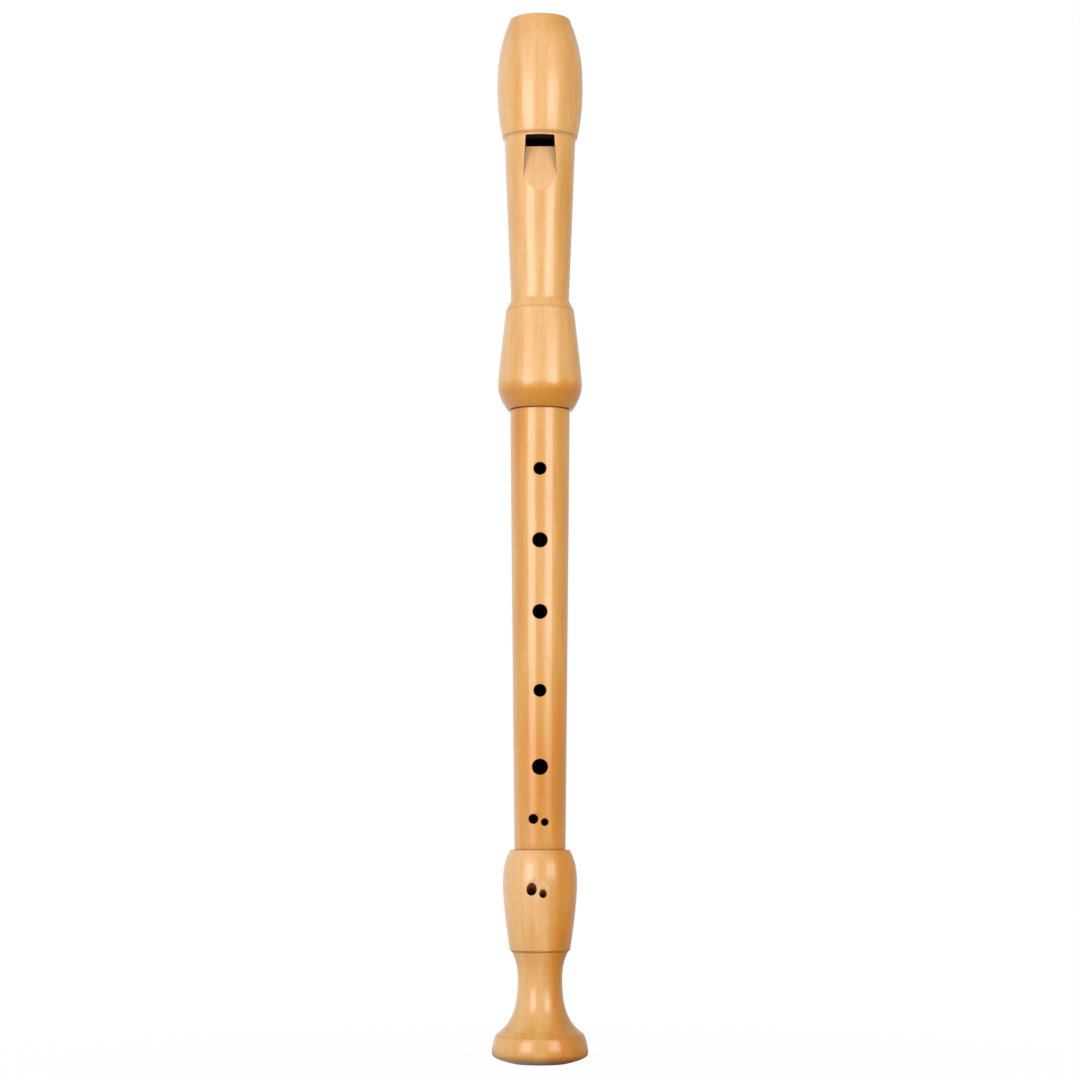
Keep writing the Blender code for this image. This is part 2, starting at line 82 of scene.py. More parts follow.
# Corners that turn by more than this angle are eased in so many steps, over at most this share of
# the way to a neighbour, and edges sharper than the last angle stay crisp
EASE_ANGLE = math.radians(22.0)
EASE_STEPS = 4
EASE_SHARE = 0.45
CRISP_ANGLE = math.radians(30.0)

# How far those corners are drawn in, on the head, on the other joints and on the corks
HEAD_EASE = 0.00020
JOINT_EASE = 0.00025
CORK_EASE = 0.00030

# How far a cutter reaches past the surfaces it opens, how far beyond a hole the fine rows of its
# side go on, and the chamfer at a socket's mouth
CUT_MARGIN = 0.0040
ROW_MARGIN = 0.0010
SOCKET_MOUTH = 0.0004

# Rows along a drilled hole's rounded rim and its wall, the angle at which the rim starts, the
# widening above it as a share of the rim, where the wall's rows start as a share of its depth, and
# the steps that settle a ring on the surface
RIM_ROWS = 7
WALL_ROWS = 6
RIM_START = math.radians(14.0)
RIM_LEAD = 0.6
WALL_START = 0.25
SETTLING_STEPS = 8

# How far the foot's holes go in, as a share of the way to the axis
FOOT_REACH = 0.85

# Clearance round the block
BLOCK_GAP = 0.00012

# Seam of a sheet cork: its angle round the tenon, its slant, and its groove's depth and half width
CORK_SEAM_ANGLE = 0.9
CORK_SEAM_SLANT = 0.8
CORK_SEAM_DEPTH = 0.00012
CORK_SEAM_WIDTH = 0.00035

# Spacing of the pearwood's growth rings, and the scale at which a wave pattern has that spacing,
# because its rings are a tenth of pi apart at a scale of 1
PEAR_RING = 0.004488
WAVE_SCALE = 0.1 * math.pi / PEAR_RING

# Spacing of the cedar's rings and how far they wander sideways, and the heights above the block's
# end between which its painted shade fades
CEDAR_RING = 0.0009
CEDAR_WANDER = 0.0012
SHADE_FADE = (0.001, 0.005)

# Size of the cork's cells
CORK_CELL = 0.0011

# How far a streak in the wood wanders sideways
STREAK_WANDER = 0.006

# Share of the head's columns between its side and the beak's edge, the steepest angle at which a
# column follows that edge, and the depth over which it lets go
EDGE_SHARE = 1.0 / 9.0
STEEPEST_CORNER = math.radians(76.0)
EDGE_FADE = 0.0060

# How a turned swelling falls away: 1 is a straight cone, 2 a round arc, more stays full longer
CONE_FULLNESS = 1.12
SLACK_FULLNESS = 1.45
ROUND_FULLNESS = 2.0
PLUMP_FULLNESS = 2.25
FULL_FULLNESS = 2.75


def length(label, description, value):
    """Property for a length in metres."""
    return FloatProperty(name=label, description=description, default=value, min=0.0,
                         unit="LENGTH", precision=5)


def angle(label, description, degrees):
    """Property for an angle, given in degrees."""
    return FloatProperty(name=label, description=description, default=math.radians(degrees),
                         subtype="ANGLE")


def linear(code):
    """Linear red, green and blue of an sRGB hex colour."""
    values = np.array([int(code[start:start + 2], 16) for start in (1, 3, 5)]) / 255.0
    return tuple(np.where(values <= 0.04045, values / 12.92, ((values + 0.055) / 1.055) ** 2.4))


def colour(label, description, code):
    """Property for a colour, given as an sRGB hex value."""
    return FloatVectorProperty(name=label, description=description, subtype="COLOR", size=3,
                               min=0.0, max=1.0, default=linear(code))


class RECORDER_PG_head(bpy.types.PropertyGroup):
    """Turned curves of the head joint."""

    crown_length: length("Crown length", "From the top down to the turned step", 0.0587)
    crown_top_radius: length("Crown top radius", "Radius at the beak's end", 0.0150)
    crown_edge_round: length("Crown edge round", "Rounding of the top edge", 0.0016)
    crown_radius: length("Crown radius", "Radius at the crown's widest place", 0.0206)
    crown_widest_drop: length("Crown widest drop", "Widest place below the top", 0.0330)
    crown_end_radius: length("Crown end radius", "Radius just above the step", 0.0179)
    step_height: length("Step height", "Height of the turned step", 0.0007)
    tube_top_radius: length("Tube top radius", "Radius just below the step", 0.01705)
    tube_low_radius: length("Tube low radius", "Radius above the socket's shoulder", 0.0139)
    shoulder_radius: length("Shoulder radius", "Radius where the socket begins", 0.0163)
    shoulder_height: length("Shoulder height", "Socket's top above the lower end", 0.0481)
    shoulder_rise: length("Shoulder rise", "Height of the cove above the socket", 0.0048)
    bulge_radius: length("Bulge radius", "Widest radius of the socket", 0.02015)
    bulge_widest_height: length("Bulge height", "Widest place above the lower end", 0.0125)
    end_radius: length("End radius", "Outer radius at the lower end", 0.0155)
    socket_radius: length("Socket radius", "Radius of the tenon's socket", 0.0126)
    socket_depth: length("Socket depth", "Depth of the tenon's socket", 0.0250)
    bore_radius: length("Bore radius", "Radius of the head's bore", 0.0097)
    beak_tip: length("Beak tip", "Thickness of the beak at its end", 0.0120)
    beak_length: length("Beak length", "Height of the hollow at the beak's back", 0.0480)
    beak_softness: length("Beak softness", "Rounding along the hollow's edge", 0.0009)


class RECORDER_PG_voice(bpy.types.PropertyGroup):
    """Windway, window and labium, with levels measured outwards from the bore's wall."""

    windway_width: length("Windway width", "Width of the windway", 0.0132)
    floor_drop: length("Floor drop", "Windway's floor inside the bore's wall", 0.00025)
    exit_height: length("Exit height", "Windway's height at the window", 0.0013)
    entry_height: length("Entry height", "Windway's height at the beak's end", 0.0019)
    chamfer: length("Chamfer", "Bevel at the windway's exit", 0.0007)
    window_drop: length("Window drop", "Window's top below the turned step", 0.0005)
    window_height: length("Window height", "From the windway's exit to the labium", 0.0046)
    labium_rise: length("Labium rise", "Labium's edge outside the bore's wall", 0.00045)
    labium_thickness: length("Labium thickness", "Wood left at the labium's edge", 0.00035)
    labium_length: length("Labium length", "Height of the labium's slope", 0.0224)
    cheek_slope: FloatProperty(name="Cheek slope", default=0.05,
                               description="How far the slope's cheeks lean out with depth")
    cheek_splay: FloatProperty(name="Cheek splay", default=0.06,
                               description="How far the cheeks run apart on the way down")
    undercut_length: length("Undercut length", "Level hollow under the edge", 0.0065)
    undercut_fade: length("Undercut fade", "Height over which the hollow ends", 0.0050)


class RECORDER_PG_middle(bpy.types.PropertyGroup):
    """Taper, tenons and holes of the middle joint."""

    top_radius: length("Top radius", "Outer radius at the upper shoulder", 0.01425)
    low_radius: length("Low radius", "Outer radius at the lower shoulder", 0.0121)
    bore_top_radius: length("Bore top radius", "Bore at the upper tenon's end", 0.0093)
    bore_low_radius: length("Bore low radius", "Bore at the lower tenon's end", 0.0069)
    tenon_gap: length("Tenon gap", "Tenon's clearance in its socket", 0.00045)
    floor_gap: length("Floor gap", "Tenon's clearance at the socket's floor", 0.0007)
    cork_gap: length("Cork gap", "Clearance on both sides of a cork", 0.0003)
    cork_thickness: length("Cork thickness", "Thickness of the sheet cork", 0.0012)
    cork_near_margin: length("Cork near margin", "From the shoulder to the groove", 0.0035)
    cork_far_margin: length("Cork far margin", "From the groove to the tenon's end", 0.0030)
    hole_rim: length("Hole rim", "Rounding round each finger hole", 0.0003)
    hole_undercut: length("Hole undercut", "Widening of a hole at the bore", 0.0006)
    scoop_depth: length("Scoop depth", "Depth of the hollow at the double hole", 0.0006)
    scoop_radius: length("Scoop radius", "Radius of the drum that cuts it", 0.0140)


class RECORDER_PG_foot(bpy.types.PropertyGroup):
    """Turned curves and holes of the foot joint."""

    rest_radius: length("Rest radius", "Radius of the flat end", 0.0120)
    bell_radius: length("Bell radius", "Widest radius of the bell", 0.0226)
    bell_widest_height: length("Bell widest height", "Its height above the end", 0.0050)
    rim_radius: length("Rim radius", "Radius at the rim's top edge", 0.0211)
    rim_height: length("Rim height", "Height of the rim's top edge", 0.0129)
    bevel_width: length("Bevel width", "Inward step of the bevel on the rim", 0.00075)
    bevel_rise: length("Bevel rise", "Height of the bevel on the rim", 0.0011)
    flare_in: length("Flare in", "Inward reach of the flare's curve", 0.0053)
    flare_up: length("Flare up", "Upward reach of the flare's curve", 0.0039)
    flare_down: length("Flare down", "Downward reach from the neck", 0.0155)
    neck_radius: length("Neck radius", "Narrowest radius of the neck", 0.0105)
    neck_height: length("Neck height", "Height of the narrowest place", 0.0385)
    neck_top_radius: length("Neck top radius", "Radius under the barrel", 0.0132)
    neck_in: length("Neck in", "Inward reach of the neck's curve", 0.0013)
    neck_down: length("Neck down", "Downward reach of the neck's curve", 0.0034)
    neck_up: length("Neck up", "Upward reach from the neck", 0.0085)
    step_height: length("Step height", "Height of the turned step", 0.0007)
    barrel_end_height: length("Barrel end height", "Height of the barrel's lower end", 0.0529)
    barrel_end_radius: length("Barrel end radius", "Radius at its lower end", 0.01425)
    barrel_radius: length("Barrel radius", "Widest radius of the barrel", 0.01752)
    barrel_widest_drop: length("Barrel widest drop", "Widest place below the top", 0.0170)
    barrel_top_radius: length("Barrel top radius", "Radius at the foot's top", 0.0140)
    socket_radius: length("Socket radius", "Radius of the tenon's socket", 0.0104)
    socket_depth: length("Socket depth", "Depth of the tenon's socket", 0.0170)
    bore_top_radius: length("Bore top radius", "Bore under the socket", 0.0067)
    bore_waist_radius: length("Bore waist radius", "Narrowest bore", 0.0061)
    bore_waist_height: length("Bore waist height", "Height of the narrowest bore", 0.0250)
    bore_end_radius: length("Bore end radius", "Bore at the bell's end", 0.0070)
    hole_rim: length("Hole rim", "Rounding round each hole", 0.0003)
    hole_slant: angle("Hole slant", "Downward slant of the double hole", 35.0)
    scoop_depth: length("Scoop depth", "Depth of the hollow at the double hole", 0.0009)
    scoop_radius: length("Scoop radius", "Radius of the drum that cuts it", 0.0200)


class RECORDER_PG_finish(bpy.types.PropertyGroup):
    """Colours of the woods, the cork and the studio."""

    pearwood_pale: colour("Pearwood, pale", "Pale wood under lacquer", "#E8B876")
    pearwood_gold: colour("Pearwood, gold", "Main tone under lacquer", "#DAA046")
    pearwood_orange: colour("Pearwood, orange", "Warm tone under lacquer", "#D88B20")
    pearwood_deep: colour("Pearwood, deep", "Deepest tone under lacquer", "#C7841E")
    pearwood_late: colour("Pearwood, late wood", "Fibres, flecks and pores", "#A9692A")
    bare_tone: colour("Bare pearwood", "Cut wood without lacquer", "#E6B983")
    bore_mouth: colour("Bore mouth", "Hole walls near the outside", "#A0602E")
    # Nearly black: oiled wood with painted shade deep in the bore and the holes
    bore_oil_and_shade: colour("Bore depth", "Oiled wood deep inside", "#170D07")
    cedar_light: colour("Cedar, light", "Early wood of the block", "#C4875A")
    cedar_dark: colour("Cedar, dark", "Late wood of the block", "#8E5230")
    # Painted shade: near black at the block's lower end, for the shade inside the window
    cedar_painted_shade: colour("Cedar, stained", "The block's damp lower end", "#2E1C11")
    cork_light: colour("Cork, light", "Pale cells of the cork", "#C79A66")
    cork_dark: colour("Cork, dark", "Dark pits of the cork", "#6B4526")
    floor: colour("Floor", "Painted studio floor", "#F4F3F1")
    floor_bounce: colour("Floor bounce", "What the floor throws back upwards", "#E4E1DC")
    key_light: colour("Key light", "Light of both softboxes", "#FFF3F3")
    fill_light: colour("Fill light", "Light of the white card", "#FBF6FA")


# Seat of each joint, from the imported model, and the seam that shows where two joints meet
FOOT_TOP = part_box("foot_joint")[1].z
HEAD_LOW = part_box("head_joint")[0].z
HEAD_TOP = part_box("head_joint")[1].z
SEAM = 0.00007
MIDDLE_LOW = FOOT_TOP + SEAM
MIDDLE_TOP = HEAD_LOW - SEAM

# Finger holes of the middle joint: (height above the foot's top, offset, radius)
FRONT_HOLES = (
    (0.1798, 0.0, 0.00305),
    (0.1458, 0.0, 0.00360),
    (0.1119, 0.0, 0.00350),
    (0.0747, 0.0, 0.00300),
    (0.0388, 0.0, 0.00375),
    (0.0144, -0.0031, 0.00230),
    (0.0129, 0.0022, 0.00178),
)
THUMB_HOLE = (0.1918, 0.0, 0.0029)
DOUBLE_HOLES = FRONT_HOLES[-2:]

# Double hole of the foot: (distance below the socket's floor, offset, radius)
FOOT_HOLES = ((0.0010, -0.0039, 0.00240), (0.0033, 0.0014, 0.00172))


def rows_for(distance, spacing):
    """Number of points that covers a distance at about a spacing."""
    return max(2, int(math.ceil(distance / spacing)) + 1)


def straight(start, end, spacing=TAPER_ROW):
    """Points on the straight line between two (radius, height) points."""
    count = rows_for(math.dist(start, end), spacing)
    share = np.linspace(0.0, 1.0, count)[:, None]
    return np.array(start) + (np.array(end) - np.array(start)) * share


def swelling(wide, end, fullness, spacing=CURVE_ROW):
    """Side of a swelling: the radius leaves the widest place by a power of the way to the end."""
    count = rows_for(math.dist(wide, end), spacing)
    share = np.linspace(0.0, 1.0, count)
    radius = wide[0] - (wide[0] - end[0]) * share ** fullness
    height = wide[1] + (end[1] - wide[1]) * share
    return np.stack([radius, height], axis=1)


def quarter_round(flat, side):
    """Quarter of an ellipse from a flat face at the first point to an upright side."""
    count = rows_for(math.dist(flat, side), 0.5 * CURVE_ROW)
    turn = np.linspace(0.0, 0.5 * math.pi, count)
    radius = flat[0] + (side[0] - flat[0]) * np.sin(turn)
    height = side[1] + (flat[1] - side[1]) * np.cos(turn)
    return np.stack([radius, height], axis=1)


def bezier(start, start_handle, end_handle, end):
    """Cubic curve: the four points weighed by s^3, 3 s^2 t, 3 s t^2 and t^3, with s = 1 - t."""
    t = np.linspace(0.0, 1.0, rows_for(math.dist(start, end), CURVE_ROW))
    s = 1.0 - t
    weights = np.stack([s ** 3, 3.0 * s * s * t, 3.0 * s * t * t, t ** 3], axis=1)
    return weights @ np.array([start, start_handle, end_handle, end])


def joined(*stretches):
    """One outline from stretches of (points, finish), without points that repeat."""
    points = np.concatenate([stretch for stretch, _ in stretches])
    finishes = np.concatenate([np.full(len(stretch), finish) for stretch, finish in stretches])
    fresh = np.linalg.norm(points - np.roll(points, 1, axis=0), axis=1) > SAME_POINT
    return points[fresh], finishes[fresh]


def eased(points, finishes, reach):
    """Outline with every sharp corner drawn as a short curve.

    The curve runs between points at the reach on either side of the corner, weighed with the
    corner by (1 - t)^2, 2 t (1 - t) and t^2. The reach is less where a neighbour is close.
    """
    back = np.roll(points, 1, axis=0) - points
    ahead = np.roll(points, -1, axis=0) - points
    back_length = np.linalg.norm(back, axis=1)
    ahead_length = np.linalg.norm(ahead, axis=1)
    cosine = -(back * ahead).sum(axis=1) / (back_length * ahead_length)
    corner = cosine < math.cos(EASE_ANGLE)
    cut = np.minimum(reach, EASE_SHARE * np.minimum(back_length, ahead_length)) * corner
    start = (points + back * (cut / back_length)[:, None])[:, None]
    end = (points + ahead * (cut / ahead_length)[:, None])[:, None]
    t = np.linspace(0.0, 1.0, EASE_STEPS)[None, :, None]
    curves = (1.0 - t) ** 2 * start + 2.0 * t * (1.0 - t) * points[:, None] + t ** 2 * end
    kept = corner[:, None] | (np.arange(EASE_STEPS) == 0)[None, :]
    return curves[kept], np.repeat(finishes, EASE_STEPS).reshape(kept.shape)[kept]


def face_out(mesh):
    """Turn the faces of a closed mesh outwards where its signed volume is negative."""
    mesh.calc_loop_triangles()
    points = np.zeros(len(mesh.vertices) * 3)
    mesh.vertices.foreach_get("co", points)
    corners = np.zeros(len(mesh.loop_triangles) * 3, dtype=np.int32)
    mesh.loop_triangles.foreach_get("vertices", corners)
    a, b, c = np.moveaxis(points.reshape(-1, 3)[corners.reshape(-1, 3)], 1, 0)
    if (a * np.cross(b, c)).sum() < 0.0:
        mesh.flip_normals()


def put_mesh(name, points, faces, finishes, materials):
    """Object at the origin from arrays of points, faces and each face's finish."""
    mesh = bpy.data.meshes.new(name)
    mesh.from_pydata(points, [], faces)
    for material in materials:
        mesh.materials.append(material)
    mesh.polygons.foreach_set("material_index", np.asarray(finishes, dtype=np.int32))
    mesh.update()
    face_out(mesh)
    piece = bpy.data.objects.new(name, mesh)
    bpy.context.scene.collection.objects.link(piece)
    return piece


def skinned(name, rings, finishes, materials, closed):
    """Skin over a grid of points, whose columns go once round.

    The grid has the shape (rows, columns, 3). A closed skin also joins its last row to its first,
    and an open one gets a fan of triangles to the middle of each end row.
    """
    rows, columns = rings.shape[:2]
    index = np.arange(rows * columns).reshape(rows, columns)
    index = np.concatenate([index, index[:, :1]], axis=1)
    if closed:
        index = np.concatenate([index, index[:1]], axis=0)
    quads = np.stack([index[:-1, :-1], index[1:, :-1], index[1:, 1:], index[:-1, 1:]], axis=-1)
    labels = np.repeat(finishes[:len(quads)], columns)
    points = rings.reshape(-1, 3)
    faces = quads.reshape(-1, 4).tolist()
    if not closed:
        middles = np.stack([rings[0].mean(axis=0), rings[-1].mean(axis=0)])
        first = np.full(columns, len(points))
        last = np.full(columns, len(points) + 1)
        faces += np.stack([index[0, :-1], index[0, 1:], first], axis=1).tolist()
        faces += np.stack([index[-1, 1:], index[-1, :-1], last], axis=1).tolist()
        points = np.concatenate([points, middles])
        labels = np.concatenate([labels, np.full(columns, finishes[0]),
                                 np.full(columns, finishes[-1])])
    return put_mesh(name, points, faces, labels, materials)


def turned_rings(points, columns):
    """Rings of a turned surface: x = r cos a and y = r sin a, with a going once round."""
    turn = np.linspace(0.0, 2.0 * math.pi, columns, endpoint=False)
    radius = points[:, :1]
    height = np.repeat(points[:, 1:], columns, axis=1)
    return np.stack([radius * np.cos(turn), radius * np.sin(turn), height], axis=-1)


def side_surface(points):
    """Front surface of a turned side: y = sqrt(R(z)^2 - x^2), with R read off the side's points."""
    rising = points[np.argsort(points[:, 1])]

    def front(x, z):
        radius = np.interp(z, rising[:, 1], rising[:, 0])
        return np.sqrt(radius ** 2 - x ** 2)

    return front


def scooped_surface(front, offset, height, surface, depth, radius):
    """The lesser of a front surface and of the hollow that a drum laid across it cuts."""
    turn = math.asin(offset / surface)
    distance = surface - depth + radius

    def hollow(x, z):
        drum = distance - np.sqrt(radius ** 2 - (z - height) ** 2)
        return np.minimum(front(x, z), (drum + x * math.sin(turn)) / math.cos(turn))

    return hollow


def turned(name, points, finishes, materials):
    """Closed turned piece. Its outline runs down the outer side and up the bore."""
    return skinned(name, turned_rings(points, TURNED_COLUMNS), finishes, materials, True)


def carve(piece, cutters, operation="DIFFERENCE"):
    """Take the cutters out of a piece, or keep what they share, as a plain mesh."""
    group = bpy.data.collections.new("cutters")
    bpy.context.scene.collection.children.link(group)
    for cutter in cutters:
        bpy.context.scene.collection.objects.unlink(cutter)
        group.objects.link(cutter)
    step = piece.modifiers.new("carve", "BOOLEAN")
    step.operation = operation
    step.solver = "EXACT"
    step.operand_type = "COLLECTION"
    step.collection = group
    graph = bpy.context.evaluated_depsgraph_get()
    carved = bpy.data.meshes.new_from_object(piece.evaluated_get(graph))
    piece.modifiers.clear()
    piece.data = carved
    for cutter in cutters:
        bpy.data.objects.remove(cutter, do_unlink=True)
    bpy.data.collections.remove(group)
    return piece


def finish_piece(piece, body, slot, *nodes):
    """Smooth a finished piece, and let it ride on its body in place of the plain nodes."""
    piece.data.shade_smooth()
    piece.data.set_sharp_from_angle(angle=CRISP_ANGLE)
    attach(piece, body)
    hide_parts(*nodes)


def hole_cutter(place, side, slant, surface, size, inner, materials):
    """Cutter for a hole whose rounded rim follows the surface that it opens.

    The hole's own outline is a list of (radius, depth) pairs: a rounded rim and a wall that widens
    towards the bore by the cube of the way in. Each pair makes a ring round the slanted axis. A
    ring slides along the axis until its points lie at their depth under the surface, found by
    repeated steps.
    """
    offset, height = place
    radius, rim, undercut = size
    start = height - surface(offset, height) * math.tan(slant)
    turn = np.linspace(RIM_START, 0.5 * math.pi, RIM_ROWS)
    rim_radius = radius + rim * (1.0 - np.sin(turn))
    rim_depth = rim * (1.0 - np.cos(turn))
    lead = RIM_LEAD * rim
    lead_radius = rim_radius[0] + lead * math.cos(turn[0])
    lead_depth = rim_depth[0] - lead * math.sin(turn[0])
    wall = inner - rim
    share = np.linspace(WALL_START, 1.0, WALL_ROWS)
    wall_radius = radius + undercut * share ** 3
    radii = np.concatenate([[lead_radius, lead_radius], rim_radius, wall_radius])
    depths = np.concatenate([[-CUT_MARGIN, lead_depth], rim_depth, rim + wall * share])
    finishes = np.where(np.arange(len(radii)) <= RIM_ROWS, LACQUERED, BORE)
    around = np.linspace(0.0, 2.0 * math.pi, HOLE_COLUMNS, endpoint=False)
    across = radii[:, None] * np.cos(around)
    upward = radii[:, None] * np.sin(around)
    x = offset + across
    z = start + upward * math.cos(slant)
    y = upward * math.sin(slant)
    slide = np.zeros_like(x)
    for _ in range(SETTLING_STEPS):
        front = surface(x, z + slide * math.sin(slant))
        slide += (front - (slide * math.cos(slant) - y)) / math.cos(slant)
    slide -= depths[:, None]
    out = slide * math.cos(slant) - y
    rings = np.stack([x, side * out, z + slide * math.sin(slant)], axis=-1)
    return skinned("hole_cutter", rings, finishes, materials, False)


def drum_cutter(finish, offset, height, surface, depth, radius, materials):
    """Drum laid across the front: x runs along it, and a circle of its radius goes round it."""
    turn = math.asin(offset / surface)
    around = np.linspace(0.0, 2.0 * math.pi, 4 * HOLE_COLUMNS, endpoint=False)
    x = np.array([[surface], [-surface]])
    y = radius * np.cos(around) - surface + depth - radius
    across = x * math.cos(turn) - y * math.sin(turn)
    back = x * math.sin(turn) + y * math.cos(turn)
    up = np.tile(radius * np.sin(around) + height, (2, 1))
    rings = np.stack([across, back, up], axis=-1)
    return skinned("scoop_cutter", rings, np.array([finish, finish]), materials, False)


def prism(name, outline, half_width, finishes, materials):
    """Prism across X over an outline of (y, z) points, with its own half width at each point.

    The finishes are those of its sides in order, and then those of its two ends.
    """
    outline = np.array(outline)
    widths = np.broadcast_to(half_width, len(outline))
    left = np.column_stack([-widths, outline])
    right = np.column_stack([widths, outline])
    count = len(outline)
    index = np.arange(count)
    after = np.roll(index, -1)
    sides = np.stack([index, after, after + count, index + count], axis=1).tolist()
    faces = sides + [index[::-1].tolist(), (index + count).tolist()]
    return put_mesh(name, np.concatenate([left, right]), faces, finishes, materials)


def window_top(sizes, voice):
    """Height of the window's upper edge, where the windway and the block end."""
    return HEAD_TOP - sizes.crown_length - sizes.step_height - voice.window_drop


def head_side(sizes, voice):
    """Outer side of the head joint as (radius, height) points, from its top to its lower end."""
    top = HEAD_TOP - HEAD_LOW
    edge = (sizes.crown_top_radius, top - sizes.crown_edge_round)
    flat = (sizes.crown_top_radius - sizes.crown_edge_round, top)
    wide = (sizes.crown_radius, top - sizes.crown_widest_drop)
    crown_end = (sizes.crown_end_radius, top - sizes.crown_length)
    tube_top = (sizes.tube_top_radius, crown_end[1] - sizes.step_height)
    tube_low = (sizes.tube_low_radius, sizes.shoulder_height + sizes.shoulder_rise)
    shoulder = (sizes.shoulder_radius, sizes.shoulder_height)
    bulge = (sizes.bulge_radius, sizes.bulge_widest_height)
    slope_end = tube_top[1] - voice.window_drop - voice.window_height - voice.labium_length
    share = (tube_top[1] - slope_end) / (tube_top[1] - tube_low[1])
    carved_end = tuple(np.array(tube_top) + (np.array(tube_low) - np.array(tube_top)) * share)
    return joined(
        (quarter_round(flat, edge), LACQUERED),
        (swelling(wide, edge, PLUMP_FULLNESS)[::-1], LACQUERED),
        (swelling(wide, crown_end, PLUMP_FULLNESS), LACQUERED),
        (straight(tube_top, carved_end, CARVED_ROW), LACQUERED),
        (straight(carved_end, tube_low), LACQUERED),
        (swelling(bulge, shoulder, CONE_FULLNESS)[::-1], LACQUERED),
        (swelling(bulge, (sizes.end_radius, 0.0), ROUND_FULLNESS), LACQUERED),
    )


def beak_hollow(sizes, height):
    """How far back the beak's wood reaches at a height: a circle's arc that meets the tip."""
    top = HEAD_TOP - HEAD_LOW
    tip = sizes.beak_tip - sizes.crown_top_radius
    depth = sizes.crown_radius - tip
    radius = (sizes.beak_length ** 2 + depth ** 2) / (2.0 * depth)
    drop = np.clip(top - height, 0.0, (1.0 - LEAST_SHARE) * radius)
    return tip + radius - np.sqrt(radius ** 2 - drop ** 2)


def beak_turns(radius, back, middle, columns):
    """Angle of every column in each ring, so that one column at each side follows the beak's edge.

    The part of the ring that lies in the hollow and the rest of it are each spaced evenly. Below
    the hollow the columns ease back to their plain angles.
    """
    edge = 2.0 * math.pi * round(EDGE_SHARE * columns) / columns
    half = np.sqrt(np.maximum(radius ** 2 - back ** 2, 0.0))
    corner = np.minimum(np.arctan2(back - middle, half), STEEPEST_CORNER)
    corner = corner + (edge - corner) * np.clip((back - radius) / EDGE_FADE, 0.0, 1.0)
    past = np.linspace(0.0, 2.0 * math.pi, columns, endpoint=False)[None, :]
    past = np.mod(past - edge, 2.0 * math.pi)
    hollow = math.pi - 2.0 * edge
    in_hollow = corner + past * (math.pi - 2.0 * corner) / hollow
    share = (past - hollow) / (math.pi + 2.0 * edge)
    outside = math.pi - corner + share * (math.pi + 2.0 * corner)
    return np.where(past < hollow, in_hollow, outside)


def head_blank(name, sizes, voice, materials, columns=HEAD_COLUMNS):
    """Solid head joint with the hollow of its beak, before the bore and the window are cut.

    Each ring is a circle cut off straight at the hollow's depth. Seen from the middle of what is
    left, it is the lesser of the distance to the circle and the distance to the straight cut,
    blended over a short width so that the edge between them is round.
    """
    points, finishes = head_side(sizes, voice)
    points, finishes = eased(points, finishes, HEAD_EASE)
    radius = points[:, :1]
    height = points[:, 1:]
    rounding = np.where(height > HEAD_TOP - HEAD_LOW - sizes.crown_edge_round,
                        sizes.crown_top_radius - radius, 0.0)
    back = beak_hollow(sizes, height) - 0.5 * np.maximum(rounding, 0.0)
    middle = np.minimum(0.0, 0.5 * (back - radius))
    turn = beak_turns(radius, back, middle, columns)
    to_circle = np.sqrt(radius ** 2 - (middle * np.cos(turn)) ** 2) - middle * np.sin(turn)
    to_cut = (back - middle) / np.maximum(np.sin(turn), LEAST_SHARE)
    blend = np.clip(0.5 + 0.5 * (to_cut - to_circle) / sizes.beak_softness, 0.0, 1.0)
    reach = to_cut + (to_circle - to_cut) * blend - sizes.beak_softness * blend * (1.0 - blend)
    x = reach * np.cos(turn)
    y = middle + reach * np.sin(turn)
    z = np.repeat(height + HEAD_LOW, columns, axis=1)
    return skinned(name, np.stack([x, y, z], axis=-1), finishes, materials, False)


def head_bore(sizes, materials):
    """Cutter for the head's socket and bore, as one turned solid."""
    top = HEAD_TOP - HEAD_LOW + CUT_MARGIN
    floor = sizes.socket_depth
    radius = sizes.socket_radius
    points, finishes = joined(
        (straight((sizes.bore_radius, top), (sizes.bore_radius, floor)), BORE),
        (straight((radius, floor), (radius, SOCKET_MOUTH)), BARE),
        ([(radius + SOCKET_MOUTH + CUT_MARGIN, -CUT_MARGIN)], BARE),
    )
    points = points + np.array([0.0, HEAD_LOW])
    return skinned("bore_cutter", turned_rings(points, BORE_COLUMNS), finishes, materials, False)


